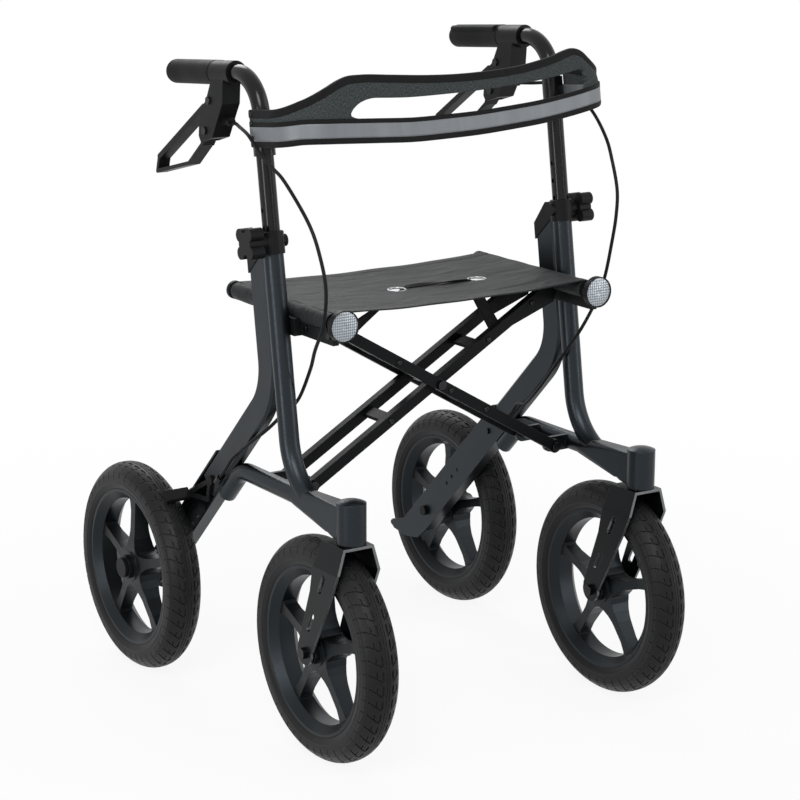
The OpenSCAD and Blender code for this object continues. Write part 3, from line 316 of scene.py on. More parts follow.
ZINC = hard("eyelet_zinc", (0.36, 0.37, 0.38), 0.25, grain=900, depth=0.03, metallic=0.95)
SEAT = cloth("seat_cloth", (0.0085, 0.0093, 0.0102), (0.024, 0.0257, 0.0267), fleck=900.0, rough=0.55,
             specular=0.15, crumple=0.45)
MELANGE = cloth("band_cloth", (0.026, 0.031, 0.032), (0.105, 0.115, 0.115), fleck=800.0)
BINDING = cloth("binding", (0.006, 0.006, 0.0065), (0.014, 0.014, 0.015), fleck=900.0, thread=0.0014,
                rough=0.7)
TAPE = tape("reflective_tape")
LENS = prism("lens")

LOOKS = {
    PAINT: ("front_tube", "rear_leg", "lower_tube", "caster_head", "axle_bracket"),
    RIM: ("front_rim", "rear_rim"),
    PLATE: ("fork",),
    GLOSS: ("handle_post",),
    PLASTIC: ("collar", "clamp_knob", "rail_saddle", "brake_housing", "brake_lever", "brake_arm",
              "reflector", "rear_axle"),
    BAR: ("seat_rail", "cross_bars_a", "cross_bars_b"),
    RUBBER: ("grip",),
    STEEL: ("frame_bolts", "hinge_pin", "lever_pin", "fork_stem", "pivot_bolt", "front_axle"),
}
for look, stems in LOOKS.items():
    for stem in stems:
        for name in (stem, stem + "_left", stem + "_right"):
            if name in NODES:
                NODES[name].data.materials.clear()
                NODES[name].data.materials.append(look)

# Painted highlight: the fork plates' faces that face forward, towards the front light, get a paler material
HIGHLIGHT_FACING = -0.7
for side in SIDES:
    plate = NODES["fork_" + side]
    plate.data.materials.append(FORK_FRONT_HIGHLIGHT)
    turn = plate.matrix_world.to_3x3()
    for face in plate.data.polygons:
        if (turn @ face.normal).normalized().y < HIGHLIGHT_FACING:
            face.material_index = 1


# Mesh helpers
def mesh_object(name, points, faces, material, uv=None, sharp=None):
    data = bpy.data.meshes.new(name)
    data.from_pydata([tuple(p) for p in np.asarray(points, float)], [], [tuple(f) for f in faces])
    data.materials.append(material)
    if uv is not None:
        layer = data.uv_layers.new(name="UVMap")
        corner = np.zeros(len(data.loops), np.int32)
        data.loops.foreach_get("vertex_index", corner)
        layer.data.foreach_set("uv", np.asarray(uv, np.float32)[corner].ravel())
    data.polygons.foreach_set("use_smooth", np.ones(len(data.polygons), bool))
    if sharp is not None:
        data.set_sharp_from_angle(angle=math.radians(sharp))
    data.update()
    made = bpy.data.objects.new(name, data)
    scene.collection.objects.link(made)
    return made


def grid_faces(rows, columns, wrap_rows=False, wrap_columns=False):
    faces = []
    for i in range(rows if wrap_rows else rows - 1):
        for j in range(columns if wrap_columns else columns - 1):
            a, b = i * columns, ((i + 1) % rows) * columns
            k = (j + 1) % columns
            faces.append((a + j, a + k, b + k, b + j))
    return faces


def clear_of(faces, hole):
    """The faces that have no corner at a marked point."""
    return [face for face in faces if not any(hole[i] for i in face)]


def renumbered(faces):
    """The points that the faces use, and the faces by the numbers that these then have."""
    used = sorted({i for face in faces for i in face})
    number = {old: new for new, old in enumerate(used)}
    return used, [tuple(number[i] for i in face) for face in faces]


def flat_pairs(first, second):
    """Texture places of a grid, from the places along its rows and its columns."""
    return np.stack(np.meshgrid(first, second, indexing="ij"), -1).reshape(-1, 2)


def ring(n):
    """Angles of n points round a circle."""
    return np.arange(n) * 2 * math.pi / n


def distances(path):
    """How far along the path each of its points is."""
    return np.concatenate([[0], np.cumsum(np.linalg.norm(np.diff(path, axis=0), axis=1))])


def smooth_path(points, steps):
    """Points along a Catmull-Rom curve through the given ones."""
    p = np.array(points, float)
    p = np.vstack([p[:1], p, p[-1:]])
    out = []
    for i in range(1, len(p) - 2):
        a, b, c, d = p[i - 1:i + 3]
        for t in np.arange(steps) / steps:
            out.append(0.5 * (2 * b + (c - a) * t + (2 * a - 5 * b + 4 * c - d) * t * t
                              + (3 * b - a - 3 * c + d) * t ** 3))
    out.append(p[-2])
    return np.array(out)


def sweep(path, section, up):
    """Rings of a closed section along a path, with the section's first axis along heading x up."""
    path = np.asarray(path, float)
    heading = np.gradient(path, axis=0)
    heading /= np.linalg.norm(heading, axis=1)[:, None]
    side = np.cross(heading, np.asarray(up, float))
    side /= np.linalg.norm(side, axis=1)[:, None]
    other = np.cross(heading, side)
    return (path[:, None, :] + side[:, None, :] * section[None, :, :1]
            + other[:, None, :] * section[None, :, 1:])


def swept_object(name, path, section, material, up=(1, 0, 0)):
    rings = sweep(path, section, up)
    rows, columns = rings.shape[:2]
    faces = grid_faces(rows, columns, wrap_columns=True)
    faces += [tuple(range(columns))[::-1], tuple((rows - 1) * columns + k for k in range(columns))]
    girth = np.linspace(0, 2 * math.pi * np.abs(section).max(), columns)
    uv = flat_pairs(distances(path), girth)
    return mesh_object(name, rings.reshape(-1, 3) * MM, faces, material, uv * MM)


def thicken(piece, thickness):
    """Gives a sheet its thickness, half to each side."""
    made = piece.modifiers.new("thickness", "SOLIDIFY")
    made.thickness = thickness * MM
    made.offset = 0.0
    graph = bpy.context.evaluated_depsgraph_get()
    data = bpy.data.meshes.new_from_object(piece.evaluated_get(graph))
    piece.modifiers.clear()
    piece.data = data


# Brake cables along the part's own routes, from the handle down to a point on the frame
CABLE_SIDES, CABLE_STEPS, CABLE_BEND_END = 12, 8, 10
for side in SIDES:
    round_cable = np.stack([np.cos(ring(CABLE_SIDES)), np.sin(ring(CABLE_SIDES))], 1) * CABLE_D / 2
    cable = swept_object("cable_" + side, smooth_path(CABLES[side], CABLE_STEPS), round_cable, SHEATH)
    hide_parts("brake_cable_" + side)
    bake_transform(cable)


# Tyres: a round casing with two ridges on the wall, crossed by sipes and dashed grooves
PITCHES = 48
STATIONS = (0.0, 0.03, 0.045, 0.125, 0.14, 0.2, 0.22, 0.52, 0.54, 0.78, 0.8, 0.9)
WALL = (
    (19.0, 116.2), (21.5, 117.6), (23.2, 119.2), (24.6, 121.5), (25.5, 124.0), (26.1, 126.8),
    (26.7, 127.4), (26.8, 128.6), (26.4, 129.4), (26.6, 133.0), (26.4, 136.5), (25.9, 139.5),
    (26.1, 140.2), (25.9, 141.4), (25.1, 142.2), (24.2, 144.6),
)
WALL_SIPE_R, WALL_SIPE_DEEP = 136, 1.1
CROWN = (23.4, 22.8, 22.6, 20.4, 17.4, 15.7, 15.5, 14.1, 13.9, 11.0, 9.0, 8.8, 6.2, 6.0, 4.4, 2.6, 2.4,
         1.6, 1.4)
CROWN_DROP, CROWN_HALF, CROWN_POWER = 12.9, 24.2, 2.35
SLANT, SLANT_FROM, SLANT_WALL = 0.035, 8, 15.5
TREAD_SHARP = 24
RUBBER_UV_R, RUBBER_UV_ROW = 0.15, 0.002

# Grooves of the tread: reach to each side of the middle, share of the pitch, and depth
GROOVES = (
    ((8.8, 22.6), (0.045, 0.125), 2.0),
    ((14.1, 15.5), (0.045, 0.52), 1.8),
    ((6.2, 8.8), (0.22, 0.78), 1.8),
    ((1.6, 2.4), (0.0, 1.0), 1.0),
)


def crown_r(x):
    return TYRE_R - CROWN_DROP * (x / CROWN_HALF) ** CROWN_POWER


def tread_depth(x, t):
    """Depth of the pattern at an offset from the middle and a share of the pitch."""
    for (near, far), (start, stop), depth in GROOVES:
        if near <= abs(x) <= far and start <= t <= stop:
            return depth
    return 0.0


def tyre_mesh():
    half = [(x, r, False) for x, r in WALL] + [(x, crown_r(x), True) for x in CROWN]
    profile = half + [(0.0, TYRE_R, True)] + [(-x, r, tread) for x, r, tread in reversed(half)]
    sipe = STATIONS[2:4]
    points, uv = [], []
    for i in range(PITCHES):
        for t in STATIONS:
            for j, (x, r, tread) in enumerate(profile):
                shift = SLANT * (abs(x) - SLANT_FROM if tread else SLANT_WALL)
                angle = 2 * math.pi * (i + t + shift) / PITCHES
                reach = r - (tread_depth(x, t) if tread else 0.0)
                cut = WALL_SIPE_DEEP if not tread and r > WALL_SIPE_R and t in sipe else 0.0
                points.append((x - math.copysign(cut, x), reach * math.sin(angle), reach * math.cos(angle)))
                uv.append((angle * RUBBER_UV_R, j * RUBBER_UV_ROW))
    faces = grid_faces(PITCHES * len(STATIONS), len(profile), wrap_rows=True, wrap_columns=True)
    return mesh_object("tyre", np.array(points) * MM, faces, TYRE, uv, TREAD_SHARP)


tyre = tyre_mesh()
AXLES = {"front": (HALF_SIDE, -WHEEL_BASE / 2), "rear": (HALF_SIDE + REAR_OFFSET, WHEEL_BASE / 2)}
for side, k in SIDES.items():
    for axle, (x, y) in AXLES.items():
        wheel = bpy.data.objects.new(f"tread_{axle}_{side}", tyre.data)
        scene.collection.objects.link(wheel)
        wheel.location = (k * x * MM, y * MM, TYRE_R * MM)
        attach(wheel, f"{axle}_wheel_{side}")
        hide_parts(f"{axle}_tyre_{side}")
bpy.data.objects.remove(tyre)


# Seat: a sagging sheet with a sleeve round each rail and two eyelets for a pull strap
SEAT_ACROSS, SEAT_ALONG = 214, 128
SEAT_T, SLEEVE_T, WEBBING_T = 1.8, 1.4, 1.4
SEAT_END_SHARE = 0.25
CREASE_H, CREASE_ONE, CREASE_TWO = 0.7, (23, 60), (75, 31)
HEM_H, HEM_W, HEM_SOFT = 0.7, 14, 0.8
EYELETS = ((-32, -84), (103, -88))
EYELET_R, EYELET_SIDES, EYELET_CATCH = 12.5, 48, (0.86, 1.14)
EYELET_LIP = ((-0.9, 1.2), (-0.4, 1.6), (0.8, 1.6), (1.6, 1.2), (1.6, 0.6), (0.4, -1.4), (-0.5, -1.5),
              (-0.9, -0.9))
SLEEVE_TURN, SLEEVE_STEPS = (90, 450), 49
PUCKER_H, PUCKER_L, PUCKER_TURNS = 0.25, 9, 3
WINDOW_HALF, WINDOW_TURN = 8, (250, 40)


def seat_height(x, y):
    u = np.clip(np.abs(x) / RAIL_X, 0, 1)
    v = (y - (SEAT_FRONT + SEAT_BACK) / 2) / (SEAT_BACK - SEAT_FRONT) * 2
    sag = SEAT_SAG * (1 - u ** 2) * (1 - SEAT_END_SHARE * v ** 2)
    ripple = np.sin(x / CREASE_ONE[0] + y / CREASE_ONE[1]) * np.sin(y / CREASE_TWO[1] - x / CREASE_TWO[0])
    creases = CREASE_H * ripple * (1 - u ** 4)
    hem = HEM_H / (1 + np.exp((np.minimum(y - SEAT_FRONT, SEAT_BACK - y) - HEM_W) / HEM_SOFT))
    return RAIL_Z + SLEEVE_R - sag + creases + hem


def seat_sheet():
    xs = np.linspace(-RAIL_X, RAIL_X, SEAT_ACROSS)
    ys = np.linspace(SEAT_FRONT, SEAT_BACK, SEAT_ALONG)
    x, y = np.meshgrid(xs, ys, indexing="ij")
    inside = np.zeros_like(x, bool)
    for cx, cy in EYELETS:
        rho = np.hypot(x - cx, y - cy) / EYELET_R
        inside |= rho < EYELET_CATCH[0]
        near = (rho >= EYELET_CATCH[0]) & (rho < EYELET_CATCH[1])
        k = np.where(near, 1 / np.maximum(rho, TINY), 1)
        x, y = np.where(near, cx + (x - cx) * k, x), np.where(near, cy + (y - cy) * k, y)
    points = np.stack([x, y, seat_height(x, y)], -1).reshape(-1, 3)
    used, faces = renumbered(clear_of(grid_faces(*x.shape), inside.ravel()))
    points = points[used]
    return mesh_object("seat", points * MM, faces, SEAT, points[:, :2] * MM)


def sleeve(side):
    """Cloth round a rail, with windows for the ends of the cross bars."""
    turn = np.radians(np.linspace(*SLEEVE_TURN, SLEEVE_STEPS))
    ys = np.linspace(SEAT_FRONT, SEAT_BACK, SEAT_ALONG)
    a, y = np.meshgrid(turn, ys, indexing="ij")
    r = SLEEVE_R + PUCKER_H * np.sin(y / PUCKER_L + PUCKER_TURNS * a)
    x = SIDES[side] * (RAIL_X - r * np.cos(a))
    z = RAIL_Z + r * np.sin(a)
    points = np.stack([x, y, z], -1).reshape(-1, 3)
    degrees = np.degrees(a) % 360
    low = (degrees > WINDOW_TURN[0]) | (degrees < WINDOW_TURN[1])
    window = low & (np.abs(np.abs(y - BRACE_Y) - BAR_PITCH[side] / 2) < WINDOW_HALF)
    used, faces = renumbered(clear_of(grid_faces(*a.shape), window.ravel()))
    uv = np.stack([a * SLEEVE_R, y], -1).reshape(-1, 2)[used]
    return mesh_object("sleeve_" + side, points[used] * MM, faces, SEAT, uv * MM)


def eyelet(name, cx, cy):
    points = []
    for a in np.linspace(0, 2 * math.pi, EYELET_SIDES + 1)[:-1]:
        x, y = cx + EYELET_R * np.cos(a), cy + EYELET_R * np.sin(a)
        base = float(seat_height(x, y))
        points += [(x + r * math.cos(a), y + r * math.sin(a), base + h) for r, h in EYELET_LIP]
    faces = grid_faces(EYELET_SIDES, len(EYELET_LIP), wrap_rows=True, wrap_columns=True)
    return mesh_object(name, np.array(points) * MM, faces, ZINC)


# Webbing on and under the seat
STRAP_STEPS, STRAP_ROWS, STRAP_UV = 61, 9, 13
STRAP_HALF, STRAP_WAIST, STRAP_SWAY, STRAP_TWIST = 5.0, 1.2, 3, 0.5
STRAP_SINK, STRAP_RISE, STRAP_CROWN, STRAP_ENTRY_SHARE = 9, 11.2, 1.2, 0.16
TIE_STEPS, TIE_ROWS, TIE_UV = 14, 5, (60, 16)
TIE_WAVE, TIE_WAVES = 1.2, 3
TIES = {
    "tie_right": ((-91, 604), (-145, 573), -144, (2, 9)),
    "tie_left": ((68, 604), (102, 549), -131, (8, 10)),
}


def pull_strap():
    """Webbing from one eyelet to the other, lying on the seat with a half twist."""
    (x0, y0), (x1, y1) = EYELETS
    u = np.linspace(0, 1, STRAP_STEPS)
    middle = np.sin(np.pi * u)
    x = x0 + (x1 - x0) * u
    y = y0 + (y1 - y0) * u + STRAP_SWAY * np.sin(2 * np.pi * u)
    over = np.clip(np.minimum(u, 1 - u) / STRAP_ENTRY_SHARE, 0, 1)
    lift = STRAP_RISE * np.sin(over * np.pi / 2) + STRAP_CROWN * middle ** 2
    z = seat_height(x, y) - STRAP_SINK + lift
    lean = STRAP_TWIST * middle * np.sin(2 * np.pi * u)
    half = STRAP_HALF - STRAP_WAIST * middle
    rows = [np.stack([x, y + k * half * np.cos(lean), z + k * half * np.sin(lean)], 1)
            for k in np.linspace(-1, 1, STRAP_ROWS)]
    uv = flat_pairs(u * (x1 - x0), np.linspace(0, STRAP_UV, STRAP_ROWS))
    faces = grid_faces(STRAP_STEPS, STRAP_ROWS)
    return mesh_object("pull_strap", np.stack(rows, 1).reshape(-1, 3) * MM, faces, BINDING, uv * MM)


def tie(name, top, foot, y, halves):
    """Flat webbing under the seat, from the sheet down to a cross bar."""
    top, foot = np.array(top, float), np.array(foot, float)
    u = np.linspace(0, 1, TIE_STEPS)[:, None]
    middle = top + (foot - top) * u
    along = (foot - top) / np.linalg.norm(foot - top)
    side = np.array([along[1], -along[0]])
    half = halves[0] + (halves[1] - halves[0]) * u
    rows = []
    for k in np.linspace(-1, 1, TIE_ROWS):
        p = middle + side * half * k
        rows.append(np.stack([p[:, 0], y + TIE_WAVE * np.sin(TIE_WAVES * u[:, 0] + k), p[:, 1]], 1))
    uv = flat_pairs(u[:, 0] * TIE_UV[0], np.linspace(0, TIE_UV[1], TIE_ROWS))
    faces = grid_faces(TIE_STEPS, TIE_ROWS)
    return mesh_object(name, np.stack(rows, 1).reshape(-1, 3) * MM, faces, BINDING, uv * MM)


seat = seat_sheet()
thicken(seat, SEAT_T)
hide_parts("seat_sling")
soft = [seat]
for side in SIDES:
    wrap = sleeve(side)
    thicken(wrap, SLEEVE_T)
    soft.append(wrap)
webbing = [pull_strap()] + [tie(name, *places) for name, places in TIES.items()]
for piece in webbing:
    thicken(piece, WEBBING_T)
soft += webbing
soft += [eyelet(f"eyelet_{i}", cx, cy) for i, (cx, cy) in enumerate(EYELETS)]
for piece in soft:
    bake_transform(piece)


# Edges of the back band, as places across and heights above its base line
LOW_EDGE = (
    (-267, 11), (-240, 13), (-213, 12), (-180, 9), (-139, 5), (-85, 0), (-30, -2), (24, -3), (78, -2),
    (132, 0), (187, 5), (213, 8), (267, 10),
)
TOP_EDGE = (
    (-267, 60), (-245, 70), (-213, 85), (-196, 92), (-181, 96), (-160, 96), (-112, 91), (-58, 85),
    (-3, 81), (51, 80), (105, 82), (150, 88), (180, 94), (196, 95), (213, 89), (235, 74), (250, 64),
    (267, 55),
)

# Back band: cloth in a U between the posts, with a grip slot, binding and a silver tape
ARM_DROP, ARM_RUN, LEFT_LIFT = 11, 105, 12
CORNER_IN, CORNER_X, CORNER_RUN, CORNER_LOW, CORNER_RISE = 12, 165, 60, 30, 55
SLOT = (-180, 215)
SLOT_LOW, SLOT_H, SLOT_NOSE, SLOT_ROUND = 32, 27, 46, 12
NOSE_DIP, NOSE_DIP_POWER, NOSE_POWER, NOSE_LEAST = 4, 8, 2.2, 0.02
LOW_ROWS, SLOT_ROWS, TOP_ROWS = 11, 7, 16
ARM_STEPS, CORNER_STEPS, FRONT_STEPS, BAND_STEPS = 12, 25, 60, 360
TAPE_SPAN, LINE_SPAN, STRIP_T, STRIP_ROWS = (8, 28), (27, 33), 0.8, 8
TAPE_OUT, LINE_OUT = 0.2, 0.3
BINDING_SIDES, BINDING_DEEP = 16, 8.4
LOW_BINDING, LOW_BINDING_IN, TOP_BINDING, TOP_BINDING_IN = 9.0, 4.5, 12.0, 5.5


def band_plan():
    """Outer face of the band in plan, from the left post to the right one, in the leaning frame."""
    r = BACK_R
    corner = np.linspace(0, math.pi / 2, CORNER_STEPS)
    arc = np.stack([BACK_HALF - r + r * np.cos(corner), -BACK_FORE + r - r * np.sin(corner)], 1)
    back = np.linspace(0, r - BACK_FORE, ARM_STEPS)[1:-1]
    half = np.vstack([np.stack([np.full(back.shape, BACK_HALF), back], 1), arc])
    across = np.linspace(BACK_HALF - r, r - BACK_HALF, FRONT_STEPS)[1:-1]
    front = np.stack([across, np.full(across.shape, -BACK_FORE)], 1)
    return np.vstack([half, front, (half * (-1, 1))[::-1]])


def eased(table, x):
    """Heights on a smooth curve through a table of places and heights."""
    t = np.array(table, float)
    slope = np.gradient(t[:, 1], t[:, 0])
    i = np.clip(np.searchsorted(t[:, 0], x) - 1, 0, len(t) - 2)
    step = t[i + 1, 0] - t[i, 0]
    u = (x - t[i, 0]) / step
    return ((2 * u ** 3 - 3 * u ** 2 + 1) * t[i, 1] + (u ** 3 - 2 * u ** 2 + u) * step * slope[i]
            + (3 * u ** 2 - 2 * u ** 3) * t[i + 1, 1] + (u ** 3 - u ** 2) * step * slope[i + 1])


def arm_share(p):
    """How far back along an arm of the band, from none at the front to one at the post."""
    return np.clip(1 + p[:, 1] / ARM_RUN, 0, 1)


def band_edge(table, p):
    """World height of an edge at points of the plan. The band comes down along its arms, to the posts."""
    return BACK_Z + BACK_TILT * p[:, 0] + eased(table, p[:, 0]) - ARM_DROP * arm_share(p)


def band_bottom(p):
    return band_edge(LOW_EDGE, p)


def band_top(p):
    return band_edge(TOP_EDGE, p) + np.where(p[:, 0] > 0, LEFT_LIFT * arm_share(p), 0)


def band_in(p, h):
    """How far the upper part of the left corner leans in."""
    around = np.clip((p[:, 0] - CORNER_X) / CORNER_RUN, 0, 1) * (1 - arm_share(p))
    return CORNER_IN * around * np.clip((h - CORNER_LOW) / CORNER_RISE, 0, 1)


def on_band(plan, z, out):
    """World places on the band: plan points in the leaning frame, at world heights, moved outward."""
    tangent = np.gradient(plan, axis=0)
    tangent /= np.linalg.norm(tangent, axis=1)[:, None]
    normal = np.stack([-tangent[:, 1], tangent[:, 0]], 1)
    p = plan + normal * np.asarray(out, float).reshape(-1, 1)
    rise = (z - COLLAR_Z + p[:, 1] * math.sin(LEAN)) / math.cos(LEAN)
    y = COLLAR_Y + p[:, 1] * math.cos(LEAN) + rise * math.sin(LEAN)
    return np.stack([p[:, 0], y, z], 1)


def band_points():
    """Plan points close together along the band, how far along they are, and the ends of the slot."""
    plan = band_plan()
    run = distances(plan)
    ahead = plan[:, 1] < BACK_R - BACK_FORE
    ends = [np.interp(-x, -plan[ahead, 0], run[ahead]) for x in SLOT]
    fine_run = np.sort(np.concatenate([np.linspace(0, run[-1], BAND_STEPS), ends]))
    fine = np.stack([np.interp(fine_run, run, plan[:, i]) for i in range(2)], 1)
    return fine, fine_run, ends


fine, fine_run, slot_ends = band_points()


def slot_edges(x):
    """Lower and upper edge of the slot above the lower edge of the band, with both ends rounded."""
    nose = np.clip((SLOT[0] + SLOT_NOSE - x) / SLOT_NOSE, 0, 1)
    tail = np.clip((x - SLOT[1] + SLOT_ROUND) / SLOT_ROUND, 0, 1)
    curl = SLOT_ROUND * (1 - np.sqrt(1 - tail ** 2))
    dip = NOSE_DIP * nose ** NOSE_DIP_POWER
    high = dip + (SLOT_H - dip) * np.sqrt(np.maximum(1 - nose ** NOSE_POWER, NOSE_LEAST))
    return SLOT_LOW + curl + dip, SLOT_LOW + high - curl


def band_sheet():
    base, top = band_bottom(fine), band_top(fine) - band_bottom(fine)
    low, high = slot_edges(fine[:, 0])
    parts = [low[:, None] * np.linspace(0, 1, LOW_ROWS + 1)[None, :-1],
             low[:, None] + (high - low)[:, None] * np.linspace(0, 1, SLOT_ROWS + 1)[None, :-1],
             high[:, None] + (top - high)[:, None] * np.linspace(0, 1, TOP_ROWS)[None, :]]
    h = np.hstack(parts)
    rows = [on_band(fine, base + row, -BACK_T / 2 - band_in(fine, row)) for row in h.T]
    world = np.stack(rows, 1).reshape(-1, 3)
    open_run = fine_run[:-1] + TINY >= min(slot_ends)
    open_run &= fine_run[1:] - TINY <= max(slot_ends)
    kept = []
    for n, face in enumerate(grid_faces(*h.shape)):
        i, j = divmod(n, h.shape[1] - 1)
        if not (open_run[i] and LOW_ROWS <= j < LOW_ROWS + SLOT_ROWS):
            kept.append(face)
    used, faces = renumbered(kept)
    uv = np.stack([np.broadcast_to(fine_run[:, None], h.shape), h], -1).reshape(-1, 2)
    return mesh_object("band", world[used] * MM, faces, MELANGE, uv[used] * MM)


def band_strip(name, span, out, material):
    """A strip laid along the band, between two heights above its lower edge, moved outward."""
    rise = np.linspace(0, 1, STRIP_ROWS) * (span[1] - span[0])
    base = band_bottom(fine) + span[0]
    world = np.stack([on_band(fine, base + h, out) for h in rise], 1)
    faces = grid_faces(len(fine), STRIP_ROWS)
    piece = mesh_object(name, world.reshape(-1, 3) * MM, faces, material, flat_pairs(fine_run, rise) * MM)
    thicken(piece, STRIP_T)
    return piece


def binding(name, heights, width):
    """A squarish roll of cloth along an edge of the band."""
    path = on_band(fine, heights, -BACK_T / 2 - band_in(fine, heights - band_bottom(fine)))
    across, along = np.cos(ring(BINDING_SIDES)), np.sin(ring(BINDING_SIDES))
    section = np.stack([np.sign(along) * np.abs(along) ** 0.5 * BINDING_DEEP / 2,
                        np.sign(across) * np.abs(across) ** 0.5 * width / 2], 1)
    return swept_object(name, path, section, BINDING, up=(0, 0, 1))


band = band_sheet()
thicken(band, BACK_T - 1)
trims = [
    band_strip("band_tape", TAPE_SPAN, TAPE_OUT, TAPE),
    band_strip("band_line", LINE_SPAN, LINE_OUT, BINDING),
    band_strip("band_tape_inside", TAPE_SPAN, -BACK_T - TAPE_OUT, TAPE),
    binding("band_binding_low", band_bottom(fine) + LOW_BINDING_IN, LOW_BINDING),
    binding("band_binding_high", band_top(fine) - TOP_BINDING_IN, TOP_BINDING),
]
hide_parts("backrest")
for piece in (band, *trims):
    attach(piece, "handle_right")
    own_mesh(piece)


# Reflector lenses in their cups
LENS_R, LENS_DOME, LENS_Y = 20.3, 1.4, -232.6
LENS_RINGS, LENS_SIDES, LENS_ROW_SHARE = 8, 48, 0.9


def lens(side):
    n = LENS_SIDES
    points = [(0.0, 0.0, 0.0)]
    for i in range(1, LENS_RINGS + 1):
        share = i / LENS_RINGS
        r, back = LENS_R * share, LENS_DOME * share ** 2 - LENS_DOME
        points += [(r * math.cos(a), back, r * math.sin(a)) for a in ring(n)]
    faces = [(0, 1 + j, 1 + (j + 1) % n) for j in range(n)]
    for i in range(LENS_RINGS - 1):
        a, b = 1 + i * n, 1 + (i + 1) * n
        faces += [(a + j, b + j, b + (j + 1) % n, a + (j + 1) % n) for j in range(n)]
    local = np.array(points)
    uv = local[:, (0, 2)] * (1, LENS_ROW_SHARE)
    world = local + (SIDES[side] * RAIL_X, LENS_Y, RAIL_Z)
    piece = mesh_object("lens_" + side, world * MM, faces, LENS, uv * MM)
    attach(piece, "cross_b" if side == "left" else "cross_a")


for side in SIDES:
    lens(side)


# Domed bolt heads with a round socket, on the fronts of the cross bars and on the end of the band
BUTTON = ((0.02, 0.45), (0.2, 0.45), (0.22, 0.92), (0.3, 1.0), (0.42, 0.8), (0.5, 0.4), (0.5, -0.1))
BUTTON_SIDES, BUTTON_SHARP = 20, 40
BOLT_D, BOLT_H = 8, 2.6
BOLTS_A, BOLTS_A_FORE = (-71, 17, 78), 50
BOLTS_B, BOLTS_B_FORE = (166, 90, -76), 37
RIVET_D, RIVET_H, RIVET_OUT = 7, 2.2, 0.6
RIVETS, RIVET_ARM, RIVET_AT = (12, 32, 43), 8, 4


def button(name, place, ahead, d, high, body):
    ahead = np.array(ahead, float)
    side = np.cross(ahead, (0, 0, 1))
    up = np.cross(side, ahead)
    points = [np.array(place) + ahead * h * high + r * d * (math.cos(a) * side + math.sin(a) * up)
              for r, h in BUTTON for a in ring(BUTTON_SIDES)]
    faces = grid_faces(len(BUTTON), BUTTON_SIDES, wrap_columns=True)
    faces.append(tuple(range(BUTTON_SIDES))[::-1])
    piece = mesh_object(name, np.array(points) * MM, faces, STEEL, sharp=BUTTON_SHARP)
    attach(piece, body)


def bar_height(x):
    """Height of a cross bar, which runs from its hinge up to the other side's rail."""
    return HINGE_Z + (x + HINGE_X) * (RAIL_Z - HINGE_Z) / (RAIL_X + HINGE_X)


for i, x in enumerate(BOLTS_A):
    spot = (x, BRACE_Y - BOLTS_A_FORE, bar_height(-x))
    button(f"bar_bolt_a_{i}", spot, (0, -1, 0), BOLT_D, BOLT_H, "cross_a")
for i, x in enumerate(BOLTS_B):
    spot = (x, BRACE_Y - BOLTS_B_FORE, bar_height(x))
    button(f"bar_bolt_b_{i}", spot, (0, -1, 0), BOLT_D, BOLT_H, "cross_b")
right_arm = fine[-RIVET_ARM:]
for i, h in enumerate(RIVETS):
    spot = on_band(right_arm, band_bottom(right_arm) + h, RIVET_OUT)[RIVET_AT]
    button(f"band_rivet_{i}", spot, (-1, 0, 0), RIVET_D, RIVET_H, "handle_right")


# Studio: each light's place, aim, size, power and, for a strip, height
LIGHTS = {
    "key": ((-2.2, -2.6, 3.4), (0, 0, 0.45), 2.0, 85, None),
    "fill": ((2.8, -1.6, 2.0), (0, 0, 0.4), 2.4, 16, None),
    "rim": ((0.6, 2.8, 2.8), (0, 0, 0.6), 2.0, 45, None),
    "strip_right": ((-2.3, -0.7, 0.75), (0, -0.1, 0.65), 0.4, 13, 1.3),
    "strip_left": ((1.7, -2.1, 0.75), (0, -0.1, 0.65), 0.35, 9, 1.3),
}
WHITE = (1, 1, 1, 1)
GLOW, GLOW_SPAN = (0.07, 0.36), (-0.1, 0.9)
FLOOR_R, FLOOR_SIDES, FLOOR_COLOUR = 14, 64, (0.86, 0.86, 0.86, 1)
FLOOR_WHITE_SHARES, FLOOR_WHITE_SPAN = (0.9, 1.0), (0.3, 1.6)


def light(name, place, aim, size, power, tall):
    data = bpy.data.lights.new(name, "AREA")
    data.shape = "RECTANGLE" if tall else "DISK"
    data.size = size
    if tall:
        data.size_y = tall
    data.energy = power
    lamp = bpy.data.objects.new(name, data)
    lamp.location = place
    lamp.rotation_euler = (Vector(aim) - Vector(place)).to_track_quat("-Z", "Y").to_euler()
    scene.collection.objects.link(lamp)


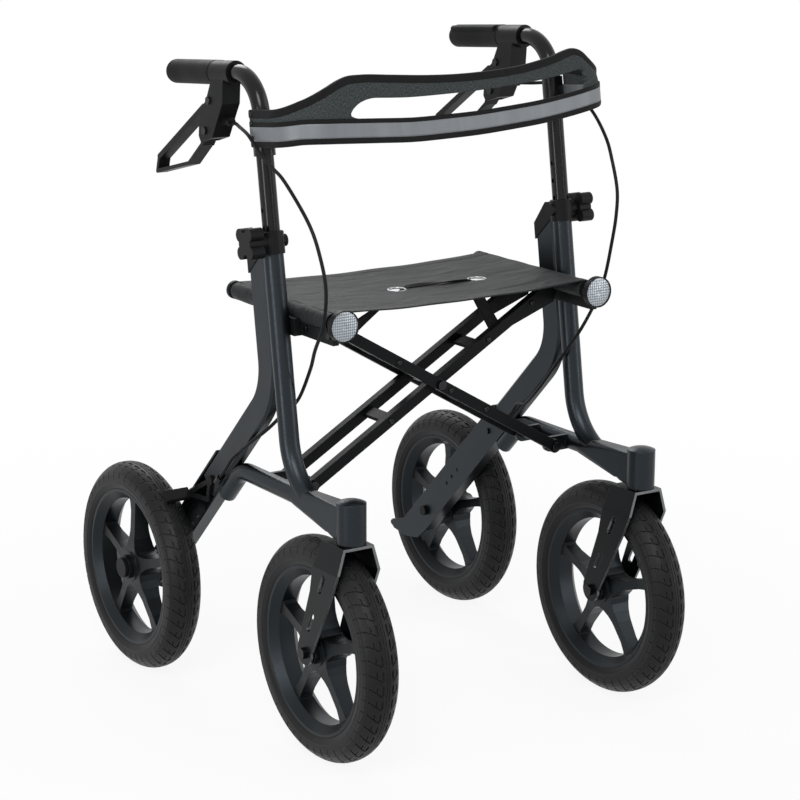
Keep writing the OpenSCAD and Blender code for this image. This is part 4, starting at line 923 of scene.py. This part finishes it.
def shown_ray(tree):
    """One for the rays that show the background: to the camera, in a reflection or through glass."""
    path = add(tree, "ShaderNodeLightPath").outputs
    seen = maths(tree, "MAXIMUM", path["Is Camera Ray"], path["Is Glossy Ray"])
    return maths(tree, "MAXIMUM", seen, path["Is Transmission Ray"])


def mixed_surface(tree, factor, first, second, output):
    mixed = add(tree, "ShaderNodeMixShader", {0: factor, 1: first.outputs[0], 2: second.outputs[0]})
    tree.links.new(mixed.outputs[0], add(tree, output).inputs["Surface"])


def surroundings():
    world = bpy.data.worlds.new("studio")
    scene.world = world
    world.use_nodes = True
    tree = world.node_tree
    tree.nodes.clear()
    height = add(tree, "ShaderNodeSeparateXYZ", {0: coordinates(tree, "Generated")}).outputs["Z"]
    strength = spread(tree, height, *GLOW, *GLOW_SPAN)
    glow = add(tree, "ShaderNodeBackground", {"Color": WHITE, "Strength": strength})
    white = add(tree, "ShaderNodeBackground", {"Color": WHITE, "Strength": 1.0})
    mixed_surface(tree, shown_ray(tree), glow, white, "ShaderNodeOutputWorld")


def floor():
    rim = [(FLOOR_R * math.cos(a), FLOOR_R * math.sin(a), 0) for a in ring(FLOOR_SIDES)]
    faces = [(0, 1 + i, 1 + (i + 1) % FLOOR_SIDES) for i in range(FLOOR_SIDES)]
    material = bpy.data.materials.new("floor")
    material.use_nodes = True
    tree = material.node_tree
    tree.nodes.clear()
    reach = add(tree, "ShaderNodeVectorMath", {0: coordinates(tree, "Object")}, operation="LENGTH")
    share = spread(tree, reach.outputs["Value"], *FLOOR_WHITE_SHARES, *FLOOR_WHITE_SPAN)
    plain = add(tree, "ShaderNodeBsdfDiffuse", {"Color": FLOOR_COLOUR})
    white = add(tree, "ShaderNodeEmission", {"Color": WHITE, "Strength": 1.0})
    shown = maths(tree, "MULTIPLY", share, shown_ray(tree))
    mixed_surface(tree, shown, plain, white, "ShaderNodeOutputMaterial")
    mesh_object("floor", [(0, 0, 0)] + rim, faces, material)


for name, settings in LIGHTS.items():
    light(name, *settings)
surroundings()
floor()
scene.view_settings.view_transform = "Standard"
